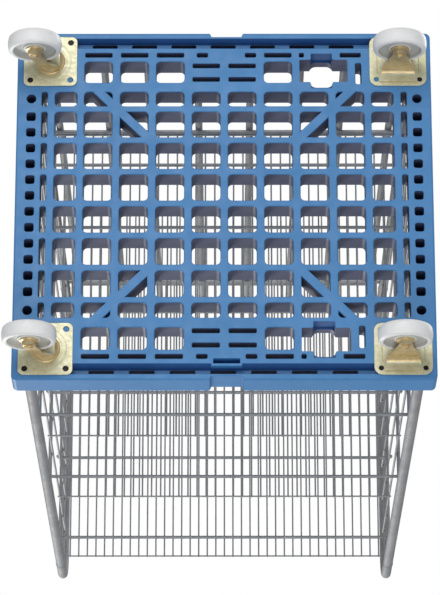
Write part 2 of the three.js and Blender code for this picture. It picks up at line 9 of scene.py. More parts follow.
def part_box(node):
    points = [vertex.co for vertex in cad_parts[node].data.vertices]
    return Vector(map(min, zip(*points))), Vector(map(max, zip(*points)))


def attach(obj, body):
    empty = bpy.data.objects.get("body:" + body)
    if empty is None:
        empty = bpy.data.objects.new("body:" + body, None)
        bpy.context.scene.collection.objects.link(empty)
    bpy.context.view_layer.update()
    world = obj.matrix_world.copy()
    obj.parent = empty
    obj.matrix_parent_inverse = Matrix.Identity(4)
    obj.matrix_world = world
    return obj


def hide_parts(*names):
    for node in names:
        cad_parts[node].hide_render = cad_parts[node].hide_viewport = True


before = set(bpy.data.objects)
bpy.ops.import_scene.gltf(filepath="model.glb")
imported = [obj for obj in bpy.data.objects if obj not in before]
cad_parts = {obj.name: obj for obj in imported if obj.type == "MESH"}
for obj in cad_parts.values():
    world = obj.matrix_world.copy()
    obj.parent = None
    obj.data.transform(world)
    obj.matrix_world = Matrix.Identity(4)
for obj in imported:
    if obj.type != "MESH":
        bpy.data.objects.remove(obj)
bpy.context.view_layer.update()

# ---- deck (all from its middle, which is the middle of the CAD deck) ----
RIM_WALL = 0.008
RIM_HEIGHT = 0.010
DECK_CORNER = 0.010
EDGE_ROUND = 0.004
RIM_ROUND = 0.002
LIP = 0.0019
COLUMN_PITCH = 0.0707
HOLE_W = 0.0556
ROW_PITCH = 0.0665
HOLE_H = 0.0542
HOLE_CORNER = 0.0085
HALF_ROW_Y = 0.2205
HALF_ROW_H = 0.0305
END_ROW_Y = 0.278
END_ROW_H = 0.0452
SLOT_ROW_Y = 0.3145
SLOT_W = 0.0540
SLOT_H = 0.0098
SLOT_LIP = 0.0009
SLOT_CORNER = 0.0028
MID_SLOT_SHIFT = (-0.0155, 0.0135)
SHORT_SLOT_X = 0.0475
SHORT_SLOT_W = 0.0220
NARROW_X = 0.311
NARROW_W = 0.0435
EDGE_SLOT_X = 0.353
EDGE_SLOT_W = 0.0115
DIAGONAL_RIB_W = 0.0180
POCKET_X = 0.379
POCKET_SIZE = 0.0180
POCKET_DEEP = 0.042
POCKET_CORNER = 0.0045
ROUND_POCKET_Y = 0.221
LATCH_Y = 0.2805
LATCH_X = -0.1957
LATCH_W = 0.0945
LATCH_H = 0.0475
LATCH_OVAL_X = -0.192
LATCH_OVAL_W = 0.0475
LATCH_OVAL_H = 0.0655
LATCH_OVAL_CORNER = 0.0140
LATCH_SEAT_W = 0.0415
LATCH_SEAT_H = 0.0740
LATCH_LEDGE_DEEP = 0.008
LATCH_SEAT_DEEP = 0.035
LATCH_SLIT = (-0.2645, 0.2750, 0.0115, 0.0450)
LATCH_SLOTS = ((-0.249, 0.0415), (-0.1526, 0.0098))
GROOVE_HALF_X = 0.392
GROOVE_MOUTH = (0.3290, 0.3500)
GROOVE_FLOOR = (0.3365, 0.3450)
GROOVE_DEEP = 0.020
GROOVE_SOFT = 0.0012
GROOVE_SLOT_PITCH = 0.078
GROOVE_SLOT_SHIFT = 0.002
GROOVE_SLOT_W = 0.050
GROOVE_SLOT_H = 0.0075
GRIP_W = 0.0515
GRIP_Y = -0.3235
GRIP_H = 0.0100
GRIP_DEEP = 0.033
GRIP_BOSS_W = 0.060
GRIP_BOSS_Y = -0.334
NOTCH_X = -0.0045
NOTCH_W = 0.059
NOTCH_MOUTH_W = 0.066
NOTCH_DEEP = 0.008

# ---- castors (heights below the deck's underside are negative) ----
PLATE_FACE = -0.0030
PLATE_BACK = -0.0003
PLATE_ROUND = 0.0008
FORK_TOP = -0.0033
CROWN_TOP = -0.0068
CROWN_LOW = -0.025
PIN_R = 0.006
LEG_INNER = 0.019
LEG_THICK = 0.003
LEG_OUTER = LEG_INNER + LEG_THICK
LEG_END_R = 0.013
FIXED_LEG_END_R = 0.014
AXLE_R = 0.006
BORE_R = 0.0064
WHEEL_HALF_W = 0.016

# ---- cage ----
POST_R = 0.011
HOOP_BEND = 0.070
BEAD_SINK = 0.0006
BEAD_WIDE = 0.0016
BEAD_TALL = 0.0018
BEAD_SIDES = 10
TUBE_WALL = 0.0015
BORE_SHOWN = 0.012
BACK_TUBE_R = 0.0075
BACK_RAIL_R = 0.004
SIDE_WIRE_R = 0.0025
SIDE_RAIL_R = 0.004
SIDE_WIRE_PITCH = 0.080
MAT_WIRES = 37
MAT_PITCH = 0.01965
MAT_WIRE_R = 0.00175
ROD_R = 0.0035
HOOK_BEND = 0.0075

TAU = 2 * math.pi
SHELVES = ("low", "mid", "top")
SIDES = (("right", 1), ("left", -1))
ENDS = (("front", -1), ("back", 1))
SWIVELS = ("swivel_front", "swivel_back")
FIXED = ("fixed_front", "fixed_back")
OPEN_HOLES = (("swivel_front", -1, 1), ("swivel_back", -1, -1), ("fixed_back", 1, -1))


def middle(node):
    """The middle of a CAD node's box."""
    low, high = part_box(node)
    return (low + high) / 2


# ---------------------------------------------------------------- materials


class Recipe:
    """A material being put together from procedural nodes."""

    def __init__(self, name, metallic=0.0, coat=0.0, subsurface=0.0):
        self.material = bpy.data.materials.new(name)
        self.material.use_nodes = True
        self.tree = self.material.node_tree
        self.shader = self.tree.nodes["Principled BSDF"]
        self.shader.inputs["Metallic"].default_value = metallic
        self.shader.inputs["Coat Weight"].default_value = coat
        self.shader.inputs["Subsurface Weight"].default_value = subsurface
        self.coordinates = self.tree.nodes.new("ShaderNodeTexCoord").outputs["Object"]

    def link(self, source, target):
        self.tree.links.new(source, target)

    def stretched(self, x, y, z):
        """Object coordinates scaled along each axis."""
        node = self.tree.nodes.new("ShaderNodeMapping")
        node.inputs["Scale"].default_value = (x, y, z)
        self.link(self.coordinates, node.inputs["Vector"])
        return node.outputs["Vector"]

    def noise(self, scale, detail=3.0, roughness=0.5, vector=None):
        node = self.tree.nodes.new("ShaderNodeTexNoise")
        node.inputs["Scale"].default_value = scale
        node.inputs["Detail"].default_value = detail
        node.inputs["Roughness"].default_value = roughness
        self.link(vector or self.coordinates, node.inputs["Vector"])
        return node.outputs["Fac"]

    def cells(self, scale):
        node = self.tree.nodes.new("ShaderNodeTexVoronoi")
        node.inputs["Scale"].default_value = scale
        self.link(self.coordinates, node.inputs["Vector"])
        return node.outputs["Color"]

    def ramp(self, factor, stops):
        """Maps a factor through (place, colour) stops; a number stands for a grey."""
        node = self.tree.nodes.new("ShaderNodeValToRGB")
        elements = node.color_ramp.elements
        while len(elements) < len(stops):
            elements.new(0.5)
        for element, (place, colour) in zip(elements, stops):
            element.position = place
            tone = (colour,) * 3 if isinstance(colour, float) else colour
            element.color = (*tone, 1.0)
        self.link(factor, node.inputs["Fac"])
        return node.outputs["Color"]

    def blend(self, factor, first, second, mode="MIX"):
        node = self.tree.nodes.new("ShaderNodeMix")
        node.data_type = "RGBA"
        node.blend_type = mode
        wanted = ((factor, node.inputs[0]), (first, node.inputs[6]), (second, node.inputs[7]))
        for value, socket in wanted:
            if isinstance(value, bpy.types.NodeSocket):
                self.link(value, socket)
            elif isinstance(value, float):
                socket.default_value = value
            else:
                socket.default_value = (*value, 1.0)
        return node.outputs[2]

    def colour(self, source):
        self.link(source, self.shader.inputs["Base Color"])

    def roughness(self, source):
        self.link(source, self.shader.inputs["Roughness"])

    def bump(self, *layers):
        """Stacks (height, strength, distance) layers onto the normal."""
        last = None
        for height, strength, distance in layers:
            node = self.tree.nodes.new("ShaderNodeBump")
            node.inputs["Strength"].default_value = strength
            node.inputs["Distance"].default_value = distance
            self.link(height, node.inputs["Height"])
            if last:
                self.link(last, node.inputs["Normal"])
            last = node.outputs["Normal"]
        self.link(last, self.shader.inputs["Normal"])


def moulded_plastic(name, dark, light, gloss=0.44):
    """Satin moulded plastic: soft mottling, a fine grain, faint drag marks and scuffs."""
    recipe = Recipe(name)
    mottle = recipe.ramp(recipe.noise(7.0, 4.0), [(0.32, dark), (0.68, light)])
    flow = recipe.noise(3.5, 5.0, 0.6, recipe.stretched(1.0, 7.0, 1.0))
    shade = recipe.ramp(flow, [(0.3, 0.93), (0.7, 1.0)])
    scratches = recipe.noise(60.0, 2.0, 0.5, recipe.stretched(0.6, 14.0, 3.0))
    worn = recipe.ramp(scratches, [(0.72, 0.0), (0.8, 0.22)])
    pale = tuple(min(1.0, 1.5 * tone + 0.05) for tone in light)
    base = recipe.blend(1.0, mottle, shade, "MULTIPLY")
    recipe.colour(recipe.blend(worn, base, pale))
    recipe.roughness(recipe.ramp(recipe.noise(38.0, 4.0), [(0.3, gloss - 0.05), (0.7, gloss + 0.1)]))
    recipe.bump((recipe.noise(1400.0, 2.0), 0.25, 0.00012), (recipe.noise(45.0, 3.0), 0.2, 0.0004))
    return recipe.material


def passivated_zinc(name, tones, metallic, gloss):
    """Yellow chromate over zinc: drifting straw, green and rose tints and rolled steel grain."""
    recipe = Recipe(name, metallic=metallic)
    tint = recipe.ramp(
        recipe.noise(32.0, 5.0, 0.62),
        [(0.28, tones[0]), (0.45, tones[1]), (0.58, tones[2]), (0.74, tones[3])],
    )
    stain = recipe.ramp(recipe.noise(120.0, 3.0), [(0.35, 0.86), (0.6, 1.0)])
    recipe.colour(recipe.blend(1.0, tint, stain, "MULTIPLY"))
    grain = recipe.noise(240.0, 3.0, 0.6, recipe.stretched(0.25, 1.0, 1.0))
    recipe.roughness(recipe.ramp(grain, [(0.3, gloss - 0.08), (0.7, gloss + 0.1)]))
    recipe.bump((grain, 0.12, 0.0002), (recipe.noise(70.0, 2.0), 0.12, 0.0005))
    return recipe.material


def plated_steel(name, tone, metallic, gloss, grain_scale):
    """Dull zinc plate on tube and wire: faint spangle, drawing lines and dull patches."""
    recipe = Recipe(name, metallic=metallic)
    low = tuple(0.86 * c for c in tone)
    spangle = recipe.ramp(recipe.cells(150.0), [(0.1, low), (0.9, tone)])
    dull = recipe.ramp(recipe.noise(14.0, 5.0, 0.6), [(0.35, 0.84), (0.6, 1.0)])
    recipe.colour(recipe.blend(1.0, spangle, dull, "MULTIPLY"))
    lines = recipe.noise(grain_scale, 3.0, 0.6, recipe.stretched(1.0, 1.0, 0.06))
    recipe.roughness(recipe.ramp(lines, [(0.3, gloss - 0.07), (0.7, gloss + 0.12)]))
    recipe.bump((lines, 0.1, 0.0001))
    return recipe.material


def white_nylon(name, dark, light, glow):
    """Cast nylon: milky, slightly uneven, greyed where it has rolled over dust."""
    recipe = Recipe(name, subsurface=glow)
    recipe.shader.inputs["Subsurface Radius"].default_value = (0.006, 0.005, 0.004)
    recipe.shader.inputs["Subsurface Scale"].default_value = 0.5
    milk = recipe.ramp(recipe.noise(18.0, 3.0), [(0.3, dark), (0.7, light)])
    dust = recipe.ramp(recipe.noise(90.0, 5.0, 0.7), [(0.56, 0.0), (0.78, 0.28)])
    recipe.colour(recipe.blend(dust, milk, (0.55, 0.54, 0.51)))
    recipe.roughness(recipe.ramp(recipe.noise(50.0, 3.0), [(0.3, 0.34), (0.7, 0.5)]))
    recipe.bump((recipe.noise(500.0, 2.0), 0.15, 0.0001), (recipe.noise(35.0, 3.0), 0.12, 0.0004))
    return recipe.material


def black_oxide(name):
    """Oil-blackened bolt steel."""
    recipe = Recipe(name, metallic=0.6)
    tones = [(0.3, (0.012, 0.011, 0.012)), (0.7, (0.035, 0.030, 0.030))]
    recipe.colour(recipe.ramp(recipe.noise(260.0, 3.0), tones))
    recipe.roughness(recipe.ramp(recipe.noise(180.0, 3.0), [(0.3, 0.4), (0.7, 0.6)]))
    recipe.bump((recipe.noise(600.0, 2.0), 0.2, 0.0001))
    return recipe.material


PLASTIC = moulded_plastic("deck_blue", (0.048, 0.222, 0.505), (0.060, 0.252, 0.560))
# Painted shade: a darker, greyer copy of the deck blue for the walls of the through holes and post sockets,
# standing in for the shade inside them.
WALL_PAINTED_SHADE = moulded_plastic("deck_wall_painted_shade", (0.084, 0.098, 0.175), (0.102, 0.120, 0.205), 0.5)
# Painted shade: a dark navy copy of the deck blue for the narrow slots and blind pockets, standing in for the
# shadow inside them.
POCKET_PAINTED_SHADE = moulded_plastic("deck_pocket_painted_shade", (0.066, 0.082, 0.170), (0.084, 0.104, 0.210), 0.55)
# Painted shade: a deeper, darker blue for the groove walls and the latch ledges and seats, standing in for the
# shade in these recesses.
RECESS_PAINTED_SHADE = moulded_plastic("deck_recess_painted_shade", (0.026, 0.105, 0.310), (0.034, 0.125, 0.360), 0.5)
DECK_FINISH = [PLASTIC, WALL_PAINTED_SHADE, POCKET_PAINTED_SHADE, RECESS_PAINTED_SHADE]
# Material tags: FACE is the plain blue; the other three are darker copies that paint shade onto hole walls,
# into slots and pockets, and into the deeper recesses.
FACE, WALL_SHADE_TAG, POCKET_SHADE_TAG, RECESS_SHADE_TAG = range(4)

PLATE_ZINC = passivated_zinc(
    "plate_zinc",
    [(0.61, 0.60, 0.37), (0.68, 0.65, 0.43), (0.71, 0.68, 0.48), (0.63, 0.65, 0.46)],
    0.5,
    0.42,
)
FORK_ZINC = passivated_zinc(
    "fork_zinc",
    [(0.60, 0.43, 0.20), (0.72, 0.54, 0.27), (0.78, 0.61, 0.34), (0.68, 0.58, 0.33)],
    0.5,
    0.36,
)
NYLON = white_nylon("wheel_nylon", (0.86, 0.855, 0.84), (0.93, 0.925, 0.915), 0.08)
# Painted shade: a darker, warmer copy of the wheel nylon for the dished web, standing in for its shade and a
# painted reflection of the plate zinc.
WEB_PAINTED_SHADE = white_nylon("wheel_web_painted_shade", (0.56, 0.56, 0.51), (0.66, 0.655, 0.61), 0.0)
TUBE = plated_steel("tube_steel", (0.37, 0.375, 0.38), 0.35, 0.66, 420.0)
WIRE = plated_steel("wire_steel", (0.42, 0.425, 0.43), 0.6, 0.5, 700.0)
BOLT = black_oxide("bolt_black")


# ---------------------------------------------------------------- mesh helpers


def rectangle(x, y, width, height):
    return [
        (x - width / 2, y - height / 2),
        (x + width / 2, y - height / 2),
        (x + width / 2, y + height / 2),
        (x - width / 2, y + height / 2),
    ]


def turned(points):
    """The same outline, always anticlockwise."""
    area = sum(ax * by - bx * ay for (ax, ay), (bx, by) in zip(points, points[1:] + points[:1]))
    return points if area > 0 else points[::-1]


def rounded(points, radius, steps=4):
    """Replaces each corner of an outline by an arc."""
    result = []
    points = turned(points)
    for i, point in enumerate(points):
        here = Vector(point)
        back = Vector(points[i - 1]) - here
        ahead = Vector(points[(i + 1) % len(points)]) - here
        half = back.angle(ahead) / 2
        reach = min(radius / math.tan(half), 0.48 * back.length, 0.48 * ahead.length)
        bend = reach * math.tan(half)
        centre = here + (back.normalized() + ahead.normalized()).normalized() * (bend / math.sin(half))
        start = here + back.normalized() * reach - centre
        end = here + ahead.normalized() * reach - centre
        first = math.atan2(start.y, start.x)
        turn = math.remainder(math.atan2(end.y, end.x) - first, TAU)
        for k in range(steps + 1):
            angle = first + turn * k / steps
            result.append((centre.x + bend * math.cos(angle), centre.y + bend * math.sin(angle)))
    return result


def circle(x, y, radius, steps):
    return [
        (x + radius * math.cos(TAU * i / steps), y + radius * math.sin(TAU * i / steps))
        for i in range(steps)
    ]


def clipped(points, through, normal):
    """The part of a convex outline on one side of a line."""
    kept = []
    for (ax, ay), (bx, by) in zip(points, points[1:] + points[:1]):
        a = (ax - through[0]) * normal[0] + (ay - through[1]) * normal[1]
        b = (bx - through[0]) * normal[0] + (by - through[1]) * normal[1]
        if a >= 0:
            kept.append((ax, ay))
        if a * b < 0:
            share = a / (a - b)
            kept.append((ax + share * (bx - ax), ay + share * (by - ay)))
    return kept


def grown(points, amount):
    """The outline moved outwards by an amount, or inwards if it is negative."""
    result = []
    for i, point in enumerate(points):
        into = (Vector(point) - Vector(points[i - 1])).normalized()
        out = (Vector(points[(i + 1) % len(points)]) - Vector(point)).normalized()
        side_in = Vector((into.y, -into.x))
        side_out = Vector((out.y, -out.x))
        mid = (side_in + side_out).normalized()
        step = amount / max(mid.dot(side_in), 0.5)
        result.append((point[0] + mid.x * step, point[1] + mid.y * step))
    return result


def skin(bm, rings, tags=None, caps=True):
    """Joins rings of vertices with quads, each band with its own material index."""
    tags = tags or [0] * len(rings)
    for lower, upper, tag in zip(rings, rings[1:], tags):
        for i in range(len(lower)):
            k = (i + 1) % len(lower)
            face = bm.faces.new((lower[i], lower[k], upper[k], upper[i]))
            face.material_index = tag
    if caps:
        bm.faces.new(rings[0][::-1]).material_index = tags[0]
        bm.faces.new(rings[-1]).material_index = tags[len(rings) - 1]


def loft(bm, outline, levels, place=lambda a, b, t: (a, b, t)):
    """A closed prism with a changing outline. A level is (height, growth, tag of the band above it)."""
    outline = turned(outline)
    rings = []
    for height, growth, _ in levels:
        rings.append([bm.verts.new(place(a, b, height)) for a, b in grown(outline, growth)])
    skin(bm, rings, [level[2] for level in levels])


def lip_levels(face, radius, inwards, tag=0, steps=3):
    """A quarter-round lip, from the face of the solid (inwards is +1 or -1) to the straight wall."""
    levels = []
    for i in range(steps + 1):
        angle = math.pi / 2 * (1 - i / steps)
        depth = radius * (1 - math.sin(angle))
        levels.append((face + inwards * depth, radius * (1 - math.cos(angle)), tag))
    return levels


def along_x(a, b, t):
    return (t, a, b)


def along_y(a, b, t):
    return (a, t, b)


def lathe(bm, profile, centre, axis="Z", steps=64, tags=None):
    """Turns a closed [radius, height] profile about an axis. A radius of 0 is a pole."""
    place = {
        "Z": lambda r, h, a: (r * math.cos(a), r * math.sin(a), h),
        "Y": lambda r, h, a: (r * math.sin(a), h, r * math.cos(a)),
    }[axis]
    rings = []
    for radius, height in profile:
        if radius < 1e-7:
            rings.append([bm.verts.new(Vector(place(0, height, 0)) + centre)])
        else:
            spots = [Vector(place(radius, height, TAU * i / steps)) + centre for i in range(steps)]
            rings.append([bm.verts.new(spot) for spot in spots])
    closed = profile[0] == profile[-1]
    if closed:
        rings[-1] = rings[0]
    tags = tags or [0] * len(rings)
    for lower, upper, tag in zip(rings, rings[1:], tags):
        for i in range(steps):
            k = (i + 1) % steps
            ring = [lower[i % len(lower)], lower[k % len(lower)]]
            ring += [upper[k % len(upper)], upper[i % len(upper)]]
            corners = list(dict.fromkeys(ring))
            if len(corners) > 2:
                bm.faces.new(corners).material_index = tag


def sweep(bm, path, radius, sides=12, hollow=0.0, chamfer=0.35):
    """A round bar along a path, with chamfered ends, or open tube ends if it is hollow."""
    path = [Vector(p) for p in path]
    last = len(path) - 1
    tangents = []
    for i in range(last + 1):
        into = (path[i] - path[max(i - 1, 0)]).normalized()
        out = (path[min(i + 1, last)] - path[i]).normalized()
        tangents.append((into + out).normalized())
    side = tangents[0].orthogonal().normalized()
    stations = []
    for i in range(last + 1):
        if i:
            side = tangents[i - 1].rotation_difference(tangents[i]) @ side
        stations.append((path[i], tangents[i], side.copy()))

    def ring(station, shift, size):
        point, tangent, across = station
        other = tangent.cross(across)
        middle_point = point + tangent * shift
        return [
            bm.verts.new(
                middle_point
                + size * (math.cos(TAU * k / sides) * across + math.sin(TAU * k / sides) * other)
            )
            for k in range(sides)
        ]

    cut = radius * chamfer
    first, end = stations[0], stations[-1]
    if hollow:
        inner = radius - hollow
        soft = hollow * 0.3
        rings = [ring(first, BORE_SHOWN, inner), ring(first, soft, inner), ring(first, 0, inner + soft)]
        rings += [ring(first, 0, radius - soft), ring(first, soft, radius)]
        rings += [ring(station, 0, radius) for station in stations[1:-1]]
        rings += [ring(end, -soft, radius), ring(end, 0, radius - soft)]
        rings += [ring(end, 0, inner + soft), ring(end, -soft, inner), ring(end, -BORE_SHOWN, inner)]
    else:
        rings = [ring(first, 0, radius - cut), ring(first, cut, radius)]
        rings += [ring(station, 0, radius) for station in stations[1:-1]]
        rings += [ring(end, -cut, radius), ring(end, 0, radius - cut)]
    skin(bm, rings)


def bent(points, radius, steps=6):
    """A path with each inner corner replaced by an arc."""
    points = [Vector(p) for p in points]
    path = [points[0]]
    for before, here, after in zip(points, points[1:], points[2:]):
        back = (before - here).normalized()
        ahead = (after - here).normalized()
        half = back.angle(ahead) / 2
        reach = radius / math.tan(half)
        inward = (back + ahead).normalized()
        centre = here + inward * (radius / math.sin(half))
        start = here + back * reach - centre
        end = here + ahead * reach - centre
        for k in range(steps + 1):
            path.append(centre + start.slerp(end, k / steps).normalized() * radius)
    path.append(points[-1])
    return path


def nugget(bm, centre, size):
    """A small flattened weld bead."""
    shape = Matrix.Translation(centre) @ Matrix.Diagonal((*size, 1.0))
    bmesh.ops.create_icosphere(bm, subdivisions=1, radius=1.0, matrix=shape)


def hexagon(radius):
    return circle(0.0, 0.0, radius, 6)


def as_object(name, bm, finish, weld=True):
    """Turns a bmesh into an object with outward faces."""
    if weld:
        bmesh.ops.remove_doubles(bm, verts=bm.verts, dist=1e-6)
    bmesh.ops.recalc_face_normals(bm, faces=bm.faces)
    mesh = bpy.data.meshes.new(name)
    bm.to_mesh(mesh)
    bm.free()
    for material in finish:
        mesh.materials.append(material)
    piece = bpy.data.objects.new(name, mesh)
    bpy.context.scene.collection.objects.link(piece)
    return piece


def applied(piece):
    """Bakes a piece's modifiers into its mesh."""
    graph = bpy.context.evaluated_depsgraph_get()
    mesh = bpy.data.meshes.new_from_object(piece.evaluated_get(graph))
    piece.modifiers.clear()
    piece.data = mesh
    return piece


def carved(piece, tool, operation="DIFFERENCE"):
    """Cuts, joins or intersects a piece with a tool, which is used up."""
    change = piece.modifiers.new("cut", "BOOLEAN")
    change.operation = operation
    change.solver = "EXACT"
    change.material_mode = "TRANSFER"
    change.object = tool
    applied(piece)
    bpy.data.objects.remove(tool)
    return piece


def softened(piece, width, segments=2, angle=35):
    """Rounds a piece's sharp edges."""
    change = piece.modifiers.new("soft", "BEVEL")
    change.width = width
    change.segments = segments
    change.limit_method = "ANGLE"
    change.angle_limit = math.radians(angle)
    change.harden_normals = False
    return applied(piece)


def shaded(piece, angle=40):
    """Smooth shading that stays flat on broad faces and crisp at sharp edges."""
    mesh = piece.data
    mesh.shade_smooth()
    mesh.set_sharp_from_angle(angle=math.radians(angle))
    change = piece.modifiers.new("normals", "WEIGHTED_NORMAL")
    change.mode = "FACE_AREA"
    change.keep_sharp = True
    change.weight = 80
    return applied(piece)


def finished(piece, body, slot, *nodes):
    """Puts a finished piece in place of its CAD nodes."""
    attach(piece, body)
    if nodes:
        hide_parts(*nodes)
    return piece


# ---------------------------------------------------------------- deck

DECK_LOW, DECK_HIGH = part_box("deck")
DECK_MID = (DECK_LOW + DECK_HIGH) / 2
UNDERSIDE = DECK_LOW.z
RIM_TOP = DECK_HIGH.z
RIB_TOP = RIM_TOP - RIM_HEIGHT
DECK_HALF = (DECK_HIGH - DECK_LOW) / 2
MARGIN = 0.002


def through_levels(lip, tag=WALL_SHADE_TAG):
    """A hole from the underside to the load side with a rounded lip at both; its walls take the painted wall
    shade unless another tag is given.
    """
    under = lip_levels(UNDERSIDE, lip, 1, FACE)
    under[-1] = (*under[-1][:2], tag)
    over = lip_levels(RIB_TOP, lip, -1, FACE)[::-1]
    return [(UNDERSIDE - MARGIN, lip, FACE), *under, *over, (RIB_TOP + MARGIN, lip, FACE)]


def blind_levels(lip, deep, tag):
    under = lip_levels(UNDERSIDE, lip, 1, FACE)
    under[-1] = (*under[-1][:2], tag)
    return [(UNDERSIDE - MARGIN, lip, FACE), *under, (UNDERSIDE + deep, -0.0004, tag)]


def diagonal_halves(x, y, width, height, end, side):
    """A hole's two parts on either side of the diagonal rib."""
    along = Vector((end, side)).normalized()
    across = Vector((-along.y, along.x))
    start = Vector((end * 2.5 * COLUMN_PITCH, side * 2.5 * ROW_PITCH))
    parts = []
    for way in (-1, 1):
        edge = start + across * way * DIAGONAL_RIB_W / 2
        corner = rounded(rectangle(x, y, width, height), HOLE_CORNER)
        parts.append(clipped(corner, edge, across * way))
    return parts


def rib_openings():
    """Outlines of the openings between the deck's ribs, about its middle."""
    openings = []
    for side in (-1, 1):
        rows = [(side * (row + 0.5) * ROW_PITCH, HOLE_H) for row in range(3)]
        rows.append((side * HALF_ROW_Y, HALF_ROW_H))
        for r, (y, height) in enumerate(rows):
            for k in range(8):
                column = k - 3.5
                x = column * COLUMN_PITCH
                if (r, abs(column)) in ((2, 2.5), (3, 3.5)):
                    end = 1 if column > 0 else -1
                    openings += diagonal_halves(x, y, HOLE_W, height, end, side)
                else:
                    openings.append(rounded(rectangle(x, y, HOLE_W, height), HOLE_CORNER))
            for end in (-1, 1):
                openings.append(rounded(rectangle(end * NARROW_X, y, NARROW_W, height), HOLE_CORNER))
                openings.append(rounded(rectangle(end * EDGE_SLOT_X, y, EDGE_SLOT_W, height), 0.004))
        for column in (3.5, 2.5, 1.5, -1.5):
            outline = rectangle(column * COLUMN_PITCH, side * END_ROW_Y, HOLE_W, END_ROW_H)
            openings.append(rounded(outline, HOLE_CORNER))
        slit_x, slit_y, slit_w, slit_h = LATCH_SLIT
        openings.append(rounded(rectangle(slit_x, side * slit_y, slit_w, slit_h), 0.004))
    return openings


def slot_outlines():
    """Outlines of the narrow slots near the deck's long edges."""
    slots = []
    for side in (-1, 1):
        places = [(column * COLUMN_PITCH, SLOT_W) for column in (3.5, 2.5, 1.5, -1.5)]
        places += [(NOTCH_X + end * SHORT_SLOT_X, SHORT_SLOT_W) for end in (-1, 1)]
        places += LATCH_SLOTS
        for x, width in places:
            slots.append(rounded(rectangle(x, side * SLOT_ROW_Y, width, SLOT_H), SLOT_CORNER))
        for end in (-1, 1):
            for shift in MID_SLOT_SHIFT:
                y = side * (END_ROW_Y + shift)
                slots.append(rounded(rectangle(end * COLUMN_PITCH / 2, y, SLOT_W, SLOT_H), SLOT_CORNER))
    return slots


def pocket_outlines():
    """Outlines of the blind pockets along the short edges."""
    pockets = []
    for end in (-1, 1):
        for side in (-1, 1):
            for i in range(6):
                y = side * (i + 0.5) * ROW_PITCH / 2
                square = rectangle(end * POCKET_X, y, POCKET_SIZE, POCKET_SIZE)
                pockets.append(rounded(square, POCKET_CORNER))
            pockets.append(circle(end * POCKET_X, side * ROUND_POCKET_Y, POCKET_SIZE / 2 + 0.0004, 24))
    return pockets


def tray_outline():
    """The recess inside the rim, which jogs inwards behind each notch."""
    half_x = DECK_HALF.x - RIM_WALL
    half_y = DECK_HALF.y - RIM_WALL
    wide = NOTCH_W / 2 + RIM_WALL
    inner = wide - 0.006
    near = [
        (-half_x, -half_y),
        (NOTCH_X - wide, -half_y),
        (NOTCH_X - inner, NOTCH_DEEP - half_y),
        (NOTCH_X + inner, NOTCH_DEEP - half_y),
        (NOTCH_X + wide, -half_y),
        (half_x, -half_y),
    ]
    return near + [(x, -y) for x, y in near][::-1]


def groove_section(side):
    """The sloped groove under a long edge, with softened mouth edges."""
    soft = GROOVE_SOFT
    points = [
        (GROOVE_MOUTH[0] - soft, -MARGIN),
        (GROOVE_MOUTH[0] - soft, 0.0),
        (GROOVE_MOUTH[0] - soft * 0.3, soft * 0.3),
        (GROOVE_MOUTH[0] + soft * 0.2, soft),
        (GROOVE_FLOOR[0], GROOVE_DEEP),
        (GROOVE_FLOOR[1], GROOVE_DEEP),
        (GROOVE_MOUTH[1] - soft * 0.2, soft),
        (GROOVE_MOUTH[1] + soft * 0.3, soft * 0.3),
        (GROOVE_MOUTH[1] + soft, 0.0),
        (GROOVE_MOUTH[1] + soft, -MARGIN),
    ]
    return [(side * y, UNDERSIDE + z) for y, z in points]


def notch_outline(side):
    """The notch in the middle of a long edge, wider at its mouth."""
    inner_y = side * (DECK_HALF.y - NOTCH_DEEP)
    outer_y = side * (DECK_HALF.y + NOTCH_DEEP)
    inner = NOTCH_W / 2
    mouth = inner + (NOTCH_MOUTH_W - NOTCH_W)
    return [
        (NOTCH_X - inner, inner_y),
        (NOTCH_X + inner, inner_y),
        (NOTCH_X + mouth, outer_y),
        (NOTCH_X - mouth, outer_y),
    ]


def shell_tool(outlines, levels):
    bm = bmesh.new()
    for outline in outlines:
        loft(bm, outline, levels)
    return as_object("tool", bm, DECK_FINISH, weld=False)


